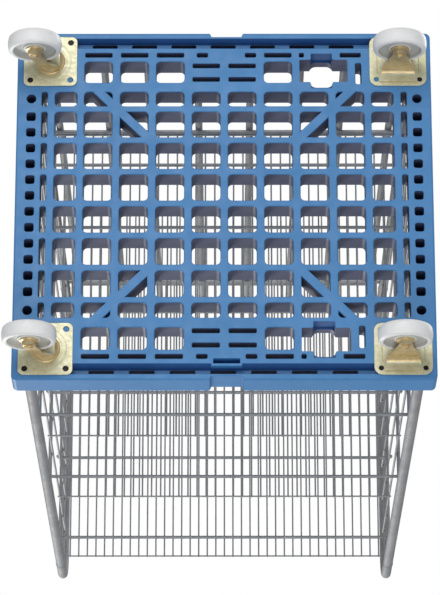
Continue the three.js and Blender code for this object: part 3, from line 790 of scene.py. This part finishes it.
def make_deck():
    outline = rounded(rectangle(0, 0, 2 * DECK_HALF.x, 2 * DECK_HALF.y), DECK_CORNER, 6)
    edge = [(z, -g, t) for z, g, t in lip_levels(UNDERSIDE, EDGE_ROUND, 1)]
    rim = [(z, -g, t) for z, g, t in lip_levels(RIM_TOP, RIM_ROUND, -1)][::-1]
    bm = bmesh.new()
    loft(bm, outline, edge + rim)
    deck = as_object("deck_moulding", bm, DECK_FINISH, weld=False)

    carved(deck, shell_tool([tray_outline()], [(RIB_TOP, 0, FACE), (RIM_TOP + MARGIN, 0, FACE)]))
    # The grooves are cut with the painted recess shade on their faces.
    bm = bmesh.new()
    for side in (-1, 1):
        loft(bm, groove_section(side), [(-GROOVE_HALF_X, 0, RECESS_SHADE_TAG), (GROOVE_HALF_X, 0, RECESS_SHADE_TAG)], along_x)
    carved(deck, as_object("tool", bm, DECK_FINISH, weld=False))
    levels = [(UNDERSIDE - MARGIN, 0.001, FACE), (UNDERSIDE, 0.001, FACE), (UNDERSIDE + 0.001, 0, FACE)]
    levels = levels + [(RIM_TOP + MARGIN, 0, FACE)]
    carved(deck, shell_tool([notch_outline(-1), notch_outline(1)], levels))

    # The groove floors go back to the plain blue, so only the sloped walls keep the painted recess shade.
    for face in deck.data.polygons:
        if face.material_index == RECESS_SHADE_TAG and abs(face.normal.z) > 0.9:
            face.material_index = FACE
    boss_reach = 0.006
    boss = rectangle(NOTCH_X, GRIP_BOSS_Y + boss_reach / 2, GRIP_BOSS_W, boss_reach)
    under = [(z, -g, t) for z, g, t in lip_levels(UNDERSIDE, GROOVE_SOFT, 1)]
    carved(deck, shell_tool([boss], [*under, (UNDERSIDE + 1.4 * GROOVE_DEEP, 0, FACE)]), "UNION")
    grip = rounded(rectangle(NOTCH_X, GRIP_Y, GRIP_W, GRIP_H), 0.002)
    carved(deck, shell_tool([grip], blind_levels(SLOT_LIP, GRIP_DEEP, FACE)))

    windows, ledges, seats, ovals = [], [], [], []
    for side in (-1, 1):
        y = side * LATCH_Y
        half = LATCH_SEAT_H / 2
        windows.append(rounded(rectangle(LATCH_X, y, LATCH_W, LATCH_H), 0.002))
        ledges.append(rounded(rectangle(LATCH_OVAL_X, y, LATCH_SEAT_W, LATCH_SEAT_H), 0.002))
        seats.append(
            rectangle(LATCH_OVAL_X, y + half / 2 - 0.0001, LATCH_SEAT_W - 0.0002, half - 0.0002)
        )
        oval = rectangle(LATCH_OVAL_X, y, LATCH_OVAL_W, LATCH_OVAL_H)
        ovals.append(rounded(oval, LATCH_OVAL_CORNER, 8))
    # The latch ledges and seats take the painted recess shade.
    carved(deck, shell_tool(ledges, blind_levels(SLOT_LIP, LATCH_LEDGE_DEEP, RECESS_SHADE_TAG)))
    deep = [(UNDERSIDE - MARGIN, 0, RECESS_SHADE_TAG), (UNDERSIDE + LATCH_SEAT_DEEP, -0.0004, RECESS_SHADE_TAG)]
    carved(deck, shell_tool(seats, deep))
    # The walls of the rib openings, windows, ovals and post sockets take the painted wall shade.
    carved(deck, shell_tool(rib_openings(), through_levels(LIP)))
    carved(deck, shell_tool(windows, through_levels(SLOT_LIP / 2)))
    # The slots and blind pockets take the painted pocket shade.
    carved(deck, shell_tool(slot_outlines(), through_levels(SLOT_LIP, POCKET_SHADE_TAG)))
    carved(deck, shell_tool(pocket_outlines(), blind_levels(SLOT_LIP, POCKET_DEEP, POCKET_SHADE_TAG)))
    carved(deck, shell_tool(ovals, through_levels(SLOT_LIP)))
    groove_y = sum(GROOVE_FLOOR) / 2
    grooves = [
        rounded(
            rectangle(i * GROOVE_SLOT_PITCH + GROOVE_SLOT_SHIFT, side * groove_y, GROOVE_SLOT_W, GROOVE_SLOT_H),
            0.003,
        )
        for side in (-1, 1)
        for i in range(-3, 4)
    ]
    # The slots in the groove floors take the painted pocket shade too.
    carved(deck, shell_tool(grooves, [(UNDERSIDE + 0.008, 0, POCKET_SHADE_TAG), (RIB_TOP + MARGIN, 0, POCKET_SHADE_TAG)]))
    sockets = [
        circle(middle(f"post_{s}_{e}").x - DECK_MID.x, middle(f"post_{s}_{e}").y, POST_R + 0.0006, 32)
        for s, _ in SIDES
        for e, _ in ENDS
    ]
    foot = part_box("post_right_front")[0].z
    carved(deck, shell_tool(sockets, [(foot, 0, WALL_SHADE_TAG), (RIM_TOP + MARGIN, 0, WALL_SHADE_TAG)]))
    deck.data.transform(Matrix.Translation((DECK_MID.x, DECK_MID.y, 0)))
    shaded(deck)
    return finished(deck, "frame", "deck_plastic", "deck")


# ---------------------------------------------------------------- castors


def make_plate(prefix, corner, hole_x, hole_y, hole_r):
    """A castor's top plate with rounded edges and bolt holes."""
    low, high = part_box(f"{prefix}_plate")
    centre = (low + high) / 2
    size = high - low
    outline = rounded(rectangle(0, 0, size.x, size.y), corner, 8)
    face = UNDERSIDE + PLATE_FACE
    back = UNDERSIDE + PLATE_BACK
    levels = [(z, -g, 0) for z, g, _ in lip_levels(face, PLATE_ROUND, 1)]
    levels += [(z, -g, 0) for z, g, _ in lip_levels(back, PLATE_ROUND, -1)][::-1]
    bm = bmesh.new()
    loft(bm, outline, levels)
    plate = as_object(f"{prefix}_plate_steel", bm, [PLATE_ZINC], weld=False)
    bm = bmesh.new()
    for end in (-1, 1):
        for side in (-1, 1):
            lip = [(face - MARGIN, 0.0006, 0)] + lip_levels(face, 0.0006, 1)
            loft(bm, circle(end * hole_x, side * hole_y, hole_r, 28), lip + [(back + MARGIN, 0, 0)])
    carved(plate, as_object("tool", bm, [PLATE_ZINC], weld=False))
    plate.data.transform(Matrix.Translation((centre.x, centre.y, 0)))
    shaded(plate)
    return plate, centre


def make_bolts(prefix, centre, hole_x, hole_y, hole_r):
    """Countersunk socket bolts, just below the plate's face; a few holes are left open."""
    bm = bmesh.new()
    face = UNDERSIDE + PLATE_FACE + 0.0007
    inner = 0.0026
    outer = hole_r - 0.0002
    profile = [(0, 0.0011), (inner, 0.0011), (inner, 0.0002), (inner + 0.0004, 0), (outer - 0.0006, 0)]
    profile += [(outer, 0.0004), (outer, 0.0012), (0.0030, 0.0018), (0, 0.0018)]
    for end in (-1, 1):
        for side in (-1, 1):
            if (prefix, end, side) not in OPEN_HOLES:
                spot = Vector((centre.x + end * hole_x, centre.y + side * hole_y, face))
                lathe(bm, profile, spot, "Z", 24)
    bolts = shaded(as_object(f"{prefix}_bolts", bm, [BOLT]))
    return finished(bolts, "frame", "fork_zinc")


def bead_ring(prefix, centre, radius, width, height):
    """A ring pressed into the plate around the swivel race."""
    face = UNDERSIDE + PLATE_FACE
    section = [(radius - width, face + 0.0006)]
    for i in range(7):
        angle = math.pi * i / 6
        section.append((radius - width * math.cos(angle), face - height * math.sin(angle)))
    section += [(radius + width, face + 0.0006), (radius - width, face + 0.0006)]
    bm = bmesh.new()
    lathe(bm, section, Vector((centre.x, centre.y, 0)), "Z", 72)
    return as_object(f"{prefix}_bead", bm, [PLATE_ZINC])


def make_wheel(prefix):
    """A cast wheel: crowned tread, rounded shoulders, dished web and a long hub."""
    centre = middle(f"{prefix}_wheel")
    low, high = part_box(f"{prefix}_wheel")
    rim = (high.z - low.z) / 2
    half = [(rim, 0.0), (rim - 0.0001, 0.0035), (rim - 0.0006, 0.0065)]
    shoulder = 0.0075
    for i in range(8):
        angle = math.pi / 2 * (0.22 + 0.78 * i / 7)
        radius = rim - 0.0008 - shoulder * (1 - math.cos(angle))
        half.append((radius, WHEEL_HALF_W - 0.0005 - shoulder * (1 - math.sin(angle))))
    half += [(0.0430, 0.0153), (0.0422, 0.0148), (0.0416, 0.0138), (0.0408, 0.0085), (0.0396, 0.0066)]
    half += [(0.0380, 0.0060), (0.0245, 0.0060), (0.0232, 0.0064), (0.0224, 0.0075), (0.0215, 0.0095)]
    half += [(0.0205, 0.0100), (BORE_R + 0.0006, 0.0100), (BORE_R, 0.0095)]
    other = [(r, -y) for r, y in half[1:]][::-1]
    profile = other + half
    profile.append(profile[0])
    # The bands of the dished web, between hub and rim, take the painted web shade and reflection.
    web = [int(0.0216 < (a[0] + b[0]) / 2 < 0.0414) for a, b in zip(profile, profile[1:])]
    bm = bmesh.new()
    lathe(bm, profile, centre, "Y", 96, web)
    wheel = shaded(as_object(f"{prefix}_wheel_nylon", bm, [NYLON, WEB_PAINTED_SHADE]), 50)
    return finished(wheel, f"wheel_{prefix}", "wheel_nylon", f"{prefix}_wheel")


def make_axle(prefix, body):
    """The axle bolt with its dust caps, spacers, head and nut."""
    centre = middle(f"{prefix}_wheel")
    bm = bmesh.new()
    cap = 0.0103
    half = [
        (AXLE_R, cap),
        (0.0180, cap),
        (0.0185, cap + 0.0006),
        (0.0185, cap + 0.0020),
        (0.0178, cap + 0.0030),
        (0.0160, cap + 0.0036),
        (0.0135, cap + 0.0040),
        (0.0128, cap + 0.0052),
        (0.0126, LEG_INNER - 0.0004),
        (AXLE_R, LEG_INNER - 0.0004),
        (AXLE_R, LEG_OUTER + 0.0002),
        (0.0105, LEG_OUTER + 0.0002),
        (0.0108, LEG_OUTER + 0.0005),
        (0.0108, LEG_OUTER + 0.0014),
        (0.0100, LEG_OUTER + 0.0017),
        (0.0050, LEG_OUTER + 0.0017),
        (0.0050, LEG_OUTER + 0.0058),
        (0.0044, LEG_OUTER + 0.0065),
        (0.0, LEG_OUTER + 0.0065),
    ]
    other = [(r, -y) for r, y in half][::-1]
    lathe(bm, other + half, centre, "Y", 48)
    axle = as_object(f"{prefix}_axle_bolt", bm, [FORK_ZINC])
    nut = bmesh.new()
    for way in (-1, 1):
        start = centre.y + way * (LEG_OUTER + 0.0012)
        stop = centre.y + way * (LEG_OUTER + 0.0048)
        low, high = min(start, stop), max(start, stop)
        levels = [(low, -0.0006, 0), (low + 0.0006, 0, 0), (high - 0.0006, 0, 0), (high, -0.0006, 0)]
        outline = [(centre.x + a, centre.z + b) for a, b in hexagon(0.0080)]
        loft(nut, outline, levels, along_y)
    carved(axle, as_object("tool", nut, [FORK_ZINC], weld=False), "UNION")
    shaded(axle, 30)
    return finished(axle, body, "fork_zinc", f"{prefix}_axle")


def arc(x, y, radius, first, last, steps):
    """Points on an arc, with its angles in degrees."""
    angles = [math.radians(first + (last - first) * i / steps) for i in range(steps + 1)]
    return [(x + radius * math.cos(a), y + radius * math.sin(a)) for a in angles]


def fork_body(prefix, section, outline):
    """Folded sheet: a bent section cut to a side outline."""
    reach = 0.095
    bm = bmesh.new()
    loft(bm, section, [(-reach, 0, 0), (reach, 0, 0)], along_x)
    fork = as_object(f"{prefix}_fork_steel", bm, [FORK_ZINC], weld=False)
    bm = bmesh.new()
    loft(bm, outline, [(-reach, 0, 0), (reach, 0, 0)], along_y)
    carved(fork, as_object("tool", bm, [FORK_ZINC], weld=False), "INTERSECT")
    return fork


def painted_reflection_below(fork):
    """Paints a reflection: the faces that look straight down get the plate's paler zinc, a painted reflection
    on the fork.
    """
    fork.data.materials.append(PLATE_ZINC)
    for face in fork.data.polygons:
        if face.normal.z < -0.8:
            face.material_index = len(fork.data.materials) - 1


def bored(fork, outline, place):
    bm = bmesh.new()
    loft(bm, outline, [(-0.1, 0, 0), (0.1, 0, 0)], place)
    return carved(fork, as_object("tool", bm, [FORK_ZINC], weld=False))


def make_fixed_fork(prefix, centre, drop):
    """Two tapering legs that fold out into feet, which spread across the plate."""
    foot = 0.0450
    flare = 0.014
    half = [(foot, FORK_TOP), (foot, FORK_TOP - LEG_THICK)]
    half += arc(LEG_OUTER + flare, FORK_TOP - LEG_THICK - flare, flare, 90, 180, 8)
    end = -drop - FIXED_LEG_END_R - 0.001
    half += [(LEG_OUTER, end), (LEG_INNER, end), (LEG_INNER, FORK_TOP - LEG_THICK)]
    section = half + [(-y, z) for y, z in half][::-1]
    knee = 0.0312
    spread = 0.0380
    side = [(spread, FORK_TOP + 0.001), (spread, FORK_TOP - LEG_THICK), (0.0340, FORK_TOP - 0.0062)]
    side += [(knee, FORK_TOP - 0.0140)]
    outline = side + arc(0, -drop, FIXED_LEG_END_R, 15, -195, 16) + [(-x, z) for x, z in side][::-1]
    fork = fork_body(prefix, section, outline)
    quarter = [(knee, 0.0), (knee, LEG_OUTER + 0.001)]
    quarter += [(spread, foot - 0.003), (spread - 0.002, foot + 0.001)]
    upper = quarter + [(-x, y) for x, y in quarter][::-1]
    plan = upper + [(x, -y) for x, y in upper[1:-1]][::-1]
    bm = bmesh.new()
    loft(bm, plan, [(-0.1, 0, 0), (0.1, 0, 0)])
    carved(fork, as_object("tool", bm, [FORK_ZINC], weld=False), "INTERSECT")
    bored(fork, [(a, b - drop) for a, b in circle(0, 0, BORE_R, 24)], along_y)
    softened(fork, 0.0009, 3)
    painted_reflection_below(fork)
    fork.data.transform(Matrix.Translation((centre.x, centre.y, UNDERSIDE)))
    shaded(fork)
    return finished(fork, "frame", "fork_zinc", f"{prefix}_fork")


def make_swivel_fork(prefix, centre, trail, drop):
    """A domed crown under the race, with legs that lean back to the axle."""
    end = -drop - LEG_END_R - 0.001
    half = [(LEG_OUTER - 0.005, CROWN_TOP - 0.002), (LEG_OUTER - 0.0015, CROWN_TOP - 0.0045)]
    half += [(LEG_OUTER, CROWN_TOP - 0.0085), (LEG_OUTER, end)]
    half += [(LEG_INNER, end), (LEG_INNER, CROWN_LOW + 0.001)]
    section = half + [(-y, z) for y, z in half][::-1]
    outline = [(-0.016, CROWN_TOP - 0.002), (-0.0205, CROWN_TOP - 0.012), (-0.0190, -0.0245)]
    outline += [(-0.0150, -0.0285), (-0.0080, -0.0325), (-0.0020, -0.0365), (0.0025, -0.0415)]
    outline += [(0.0055, -0.0480), (0.0072, -0.0540), (0.0090, -0.0610)]
    outline += arc(trail, -drop, LEG_END_R, 150, 370, 18)
    outline += [(0.0355, -0.0690), (0.0328, -0.0590), (0.0298, -0.0510), (0.0270, -0.0430)]
    outline += [(0.0245, -0.0350), (0.0225, -0.0270)]
    outline += [(0.0210, CROWN_TOP - 0.012), (0.016, CROWN_TOP - 0.002)]
    fork = fork_body(prefix, section, outline)
    crown = [(0, CROWN_LOW), (0.0120, CROWN_LOW)]
    crown += [(0.0160, CROWN_LOW + 0.0006), (0.0192, CROWN_LOW + 0.0020)]
    crown += [(0.0218, CROWN_LOW + 0.0042), (0.0238, CROWN_LOW + 0.0070), (0.0251, CROWN_LOW + 0.0104)]
    crown += [(0.0258, CROWN_LOW + 0.0138), (0.0260, CROWN_TOP - 0.0020)]
    crown += [(0.0255, CROWN_TOP - 0.0006), (0.0240, CROWN_TOP), (0, CROWN_TOP)]
    bm = bmesh.new()
    lathe(bm, crown, Vector((0, 0, 0)), "Z", 64)
    carved(fork, as_object("tool", bm, [FORK_ZINC]), "UNION")
    bored(fork, [(a + trail, b - drop) for a, b in circle(0, 0, BORE_R, 24)], along_y)
    bored(fork, circle(0, 0, PIN_R + 0.0004, 24), lambda a, b, t: (a, b, t))
    softened(fork, 0.0008, 2, 45)
    painted_reflection_below(fork)
    fork.data.transform(Matrix.Translation((centre.x, centre.y, UNDERSIDE)))
    shaded(fork)
    return finished(fork, prefix, "fork_zinc", f"{prefix}_fork")


def make_race(prefix, centre):
    """The king pin with its domed head and the outer race under the plate."""
    profile = [
        (0, CROWN_LOW - 0.0042),
        (0.0040, CROWN_LOW - 0.0040),
        (0.0070, CROWN_LOW - 0.0030),
        (0.0090, CROWN_LOW - 0.0014),
        (0.0095, CROWN_LOW - 0.0003),
        (PIN_R, CROWN_LOW - 0.0003),
        (PIN_R, CROWN_TOP + 0.0003),
        (0.0262, CROWN_TOP + 0.0003),
        (0.0272, CROWN_TOP + 0.0009),
        (0.0286, CROWN_TOP + 0.0022),
        (0.0290, FORK_TOP + 0.0001),
        (0, FORK_TOP + 0.0001),
    ]
    bm = bmesh.new()
    lathe(bm, profile, Vector((centre.x, centre.y, UNDERSIDE)), "Z", 72)
    race = shaded(as_object(f"{prefix}_race", bm, [FORK_ZINC]))
    return finished(race, "frame", "fork_zinc", f"{prefix}_pin")


def make_swivel_castor(prefix):
    hole_x, hole_y, hole_r = 0.0395, 0.0400, 0.0058
    plate, centre = make_plate(prefix, 0.011, hole_x, hole_y, hole_r)
    finished(plate, "frame", "plate_zinc", f"{prefix}_plate")
    bead = shaded(bead_ring(prefix, centre, 0.0365, 0.0050, 0.0005))
    finished(bead, "frame", "plate_zinc")
    make_bolts(prefix, centre, hole_x, hole_y, hole_r)
    wheel = middle(f"{prefix}_wheel")
    make_race(prefix, centre)
    make_swivel_fork(prefix, centre, wheel.x - centre.x, UNDERSIDE - wheel.z)
    make_axle(prefix, prefix)
    make_wheel(prefix)


def make_fixed_castor(prefix):
    hole_x, hole_y, hole_r = 0.0425, 0.0390, 0.0050
    plate, centre = make_plate(prefix, 0.016, hole_x, hole_y, hole_r)
    finished(plate, "frame", "plate_zinc", f"{prefix}_plate")
    make_bolts(prefix, centre, hole_x, hole_y, hole_r)
    bm = bmesh.new()
    for end in (-1, 1):
        x = centre.x + end * 0.0410
        face = UNDERSIDE + PLATE_FACE
        path = [(x, centre.y - 0.028, face + 0.0002), (x, centre.y + 0.028, face + 0.0002)]
        sweep(bm, path, 0.0010, 12, chamfer=0.8)
    ridges = shaded(as_object(f"{prefix}_ridges", bm, [PLATE_ZINC]))
    finished(ridges, "frame", "plate_zinc")
    wheel = middle(f"{prefix}_wheel")
    make_fixed_fork(prefix, centre, UNDERSIDE - wheel.z)
    make_axle(prefix, "frame")
    make_wheel(prefix)


# ---------------------------------------------------------------- cage

RAIL_Z = [middle(f"back_rail_{i}").z for i in range(1, 6)]


def make_posts():
    for side_name, _ in SIDES:
        for end_name, _ in ENDS:
            node = f"post_{side_name}_{end_name}"
            low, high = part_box(node)
            centre = (low + high) / 2
            bm = bmesh.new()
            sweep(bm, [(centre.x, centre.y, low.z), (centre.x, centre.y, high.z)], POST_R, 32, TUBE_WALL)
            post = shaded(as_object(f"{node}_tube", bm, [TUBE]), 60)
            finished(post, "frame", "tube_steel", node)


def make_hoop(side_name):
    """The rounded top tube of a side frame, with a weld bead where it meets each post."""
    node = f"hoop_{side_name}"
    low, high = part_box(node)
    x = (low.x + high.x) / 2
    front = middle(f"post_{side_name}_front").y
    back = middle(f"post_{side_name}_back").y
    top = high.z - POST_R
    corners = [(x, front, low.z), (x, front, top), (x, back, top), (x, back, low.z)]
    bm = bmesh.new()
    sweep(bm, bent(corners, HOOP_BEND, 14), POST_R, 32, TUBE_WALL)
    for y in (front, back):
        ring = [
            (POST_R - BEAD_SINK + BEAD_WIDE * math.cos(a), BEAD_TALL * math.sin(a))
            for a in [TAU * k / BEAD_SIDES for k in range(BEAD_SIDES)]
        ]
        ring.append(ring[0])
        lathe(bm, ring, Vector((x, y, low.z)), "Z", 40)
    hoop = shaded(as_object(f"{node}_tube", bm, [TUBE]), 60)
    finished(hoop, "frame", "tube_steel", node)


def make_grille(side_name, end):
    """Upright wires welded to the inner face of five rails between two posts."""
    node = f"grille_{side_name}"
    low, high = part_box(node)
    x = (low.x + high.x) / 2
    inner_x = x - end * (SIDE_RAIL_R + SIDE_WIRE_R - 0.0006)
    reach = 0.0008
    bm = bmesh.new()
    for z in RAIL_Z:
        sweep(bm, [(x, low.y - reach, z), (x, high.y + reach, z)], SIDE_RAIL_R, 16)
    uprights = [k * SIDE_WIRE_PITCH for k in range(-3, 4)]
    uprights += [low.y + SIDE_WIRE_R, high.y - SIDE_WIRE_R]
    for y in uprights:
        sweep(bm, [(inner_x, y, RAIL_Z[0] - 0.005), (inner_x, y, RAIL_Z[-1] + 0.005)], SIDE_WIRE_R, 12)
        for z in RAIL_Z:
            nugget(bm, Vector((inner_x + end * 0.0022, y, z)), (0.0022, 0.0036, 0.0036))
    grille = shaded(as_object(f"{node}_wires", bm, [WIRE]), 50)
    finished(grille, "frame", "wire_steel", node)


def make_back():
    for i in range(1, 9):
        node = f"back_tube_{i}"
        low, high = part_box(node)
        centre = (low + high) / 2
        bm = bmesh.new()
        path = [(centre.x, centre.y, low.z), (centre.x, centre.y, high.z)]
        sweep(bm, path, BACK_TUBE_R, 24, TUBE_WALL)
        for z in RAIL_Z:
            nugget(bm, Vector((centre.x, centre.y - BACK_TUBE_R, z)), (0.0050, 0.0026, 0.0044))
        tube = shaded(as_object(f"{node}_tube", bm, [TUBE]), 60)
        finished(tube, "frame", "tube_steel", node)
    for i in range(1, 6):
        node = f"back_rail_{i}"
        low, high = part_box(node)
        centre = (low + high) / 2
        bm = bmesh.new()
        path = [(low.x - 0.0008, centre.y, centre.z), (high.x + 0.0008, centre.y, centre.z)]
        sweep(bm, path, BACK_RAIL_R, 16)
        rail = shaded(as_object(f"{node}_bar", bm, [WIRE]), 60)
        finished(rail, "frame", "wire_steel", node)


# ---------------------------------------------------------------- shelves


def make_shelf(level):
    """A welded wire mat on four hooked rods and a plain rear rod."""
    node = f"shelf_{level}_mat"
    low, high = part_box(node)
    centre = (low + high) / 2
    rods = [f"shelf_{level}_rod_{i}" for i in range(1, 6)]
    bm = bmesh.new()
    front_y = low.y + MAT_WIRE_R
    back_y = high.y - MAT_WIRE_R
    for i in range(MAT_WIRES):
        x = centre.x + (i - (MAT_WIRES - 1) / 2) * MAT_PITCH
        sweep(bm, [(x, low.y, centre.z), (x, high.y, centre.z)], MAT_WIRE_R, 10)
        for rod in rods:
            nugget(bm, Vector((x, middle(rod).y, centre.z - MAT_WIRE_R)), (0.0021, 0.0030, 0.0010))
    for y in (front_y, back_y):
        under = centre.z - MAT_WIRE_R * 0.9
        sweep(bm, [(low.x, y, under), (high.x, y, under)], MAT_WIRE_R, 10)
    mat = shaded(as_object(f"shelf_{level}_wires", bm, [WIRE]), 50)
    finished(mat, f"shelf_{level}", "wire_steel", node)
    for rod in rods:
        make_rod(level, rod)


def make_rod(level, node):
    low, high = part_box(node)
    y = (low.y + high.y) / 2
    z = high.z - ROD_R
    bm = bmesh.new()
    if high.z - low.z > 3 * ROD_R:
        left, right = low.x + ROD_R, high.x - ROD_R
        corners = [(left, y, low.z), (left, y, z), (right, y, z), (right, y, low.z)]
        path = bent(corners, HOOK_BEND, 6)
    else:
        path = [(low.x, y, z), (high.x, y, z)]
    sweep(bm, path, ROD_R, 14)
    rod = shaded(as_object(f"{node}_bar", bm, [WIRE]), 60)
    finished(rod, f"shelf_{level}", "wire_steel", node)


# ---------------------------------------------------------------- studio


def make_floor():
    """A pale floor fading to white far away, clear from underneath so a low camera sees through it."""
    bm = bmesh.new()
    bmesh.ops.create_grid(bm, x_segments=8, y_segments=8, size=40.0)
    recipe = Recipe("floor_pale")
    recipe.colour(recipe.ramp(recipe.noise(1.5, 2.0), [(0.3, 0.80), (0.7, 0.83)]))
    recipe.shader.inputs["Roughness"].default_value = 0.8
    nodes = recipe.tree.nodes
    reach = 0.14
    near = nodes.new("ShaderNodeTexGradient")
    near.gradient_type = "SPHERICAL"
    recipe.link(recipe.stretched(reach, reach, reach), near.inputs["Vector"])
    fade = recipe.ramp(near.outputs["Fac"], [(0.0, 0.0), (0.75, 1.0)])
    haze = nodes.new("ShaderNodeEmission")
    shown = nodes.new("ShaderNodeMixShader")
    recipe.link(fade, shown.inputs[0])
    recipe.link(haze.outputs[0], shown.inputs[1])
    recipe.link(recipe.shader.outputs[0], shown.inputs[2])
    clear = nodes.new("ShaderNodeBsdfTransparent")
    side = nodes.new("ShaderNodeNewGeometry")
    either = nodes.new("ShaderNodeMixShader")
    recipe.link(side.outputs["Backfacing"], either.inputs[0])
    recipe.link(shown.outputs[0], either.inputs[1])
    recipe.link(clear.outputs[0], either.inputs[2])
    recipe.link(either.outputs[0], nodes["Material Output"].inputs["Surface"])
    floor = as_object("floor", bm, [recipe.material])
    floor.visible_shadow = False
    floor.visible_diffuse = False
    floor.visible_glossy = False


def add_light(name, place, target, size, power, tone=(1.0, 1.0, 1.0)):
    light = bpy.data.lights.new(name, "AREA")
    light.shape = "DISK"
    light.size = size
    light.energy = power
    light.color = tone
    holder = bpy.data.objects.new(name, light)
    bpy.context.scene.collection.objects.link(holder)
    holder.location = place
    aim = Vector(target) - Vector(place)
    holder.rotation_euler = aim.to_track_quat("-Z", "Y").to_euler()


def make_world():
    world = bpy.data.worlds.new("studio")
    bpy.context.scene.world = world
    world.use_nodes = True
    tree = world.node_tree
    tree.nodes["Background"].inputs["Color"].default_value = (1.0, 1.0, 1.0, 1.0)
    tree.nodes["Background"].inputs["Strength"].default_value = 1.0
    soft = tree.nodes.new("ShaderNodeBackground")
    soft.inputs["Color"].default_value = (0.93, 0.96, 1.0, 1.0)
    soft.inputs["Strength"].default_value = 0.42
    path = tree.nodes.new("ShaderNodeLightPath")
    either = tree.nodes.new("ShaderNodeMixShader")
    tree.links.new(path.outputs["Is Camera Ray"], either.inputs[0])
    tree.links.new(soft.outputs[0], either.inputs[1])
    tree.links.new(tree.nodes["Background"].outputs[0], either.inputs[2])
    tree.links.new(either.outputs[0], tree.nodes["World Output"].inputs["Surface"])


def make_camera():
    data = bpy.data.cameras.new("camera")
    data.lens = 203.0
    data.sensor_width = 36.0
    data.clip_end = 100.0
    camera = bpy.data.objects.new("camera", data)
    bpy.context.scene.collection.objects.link(camera)
    camera.location = (DECK_MID.x, -2.395, -5.935)
    back = (camera.location - Vector((0.001, -0.195, UNDERSIDE))).normalized()
    right = Vector((0.0, 1.0, 0.0)).cross(back).normalized()
    turn = Matrix((right, back.cross(right), back)).transposed()
    camera.rotation_mode = "QUATERNION"
    camera.rotation_quaternion = turn.to_quaternion()
    bpy.context.scene.camera = camera


make_camera()
make_world()
make_floor()
add_light("key_below", (0.6, 1.6, -3.6), (0.0, 0.0, 0.1), 2.6, 62.0)
add_light("fill_below", (-0.3, -3.4, -2.4), (0.0, 0.0, 0.3), 3.0, 46.0)
add_light("key_above", (2.2, -2.8, 4.2), (0.0, 0.0, 0.8), 2.2, 130.0)
add_light("fill_above", (-3.0, 2.4, 3.0), (0.0, 0.0, 0.8), 2.5, 70.0)

make_deck()
for castor in SWIVELS:
    make_swivel_castor(castor)
for castor in FIXED:
    make_fixed_castor(castor)
make_posts()
for name, way in SIDES:
    make_hoop(name)
    make_grille(name, way)
make_back()
for shelf in SHELVES:
    make_shelf(shelf)

bpy.context.scene.view_settings.view_transform = "Standard"
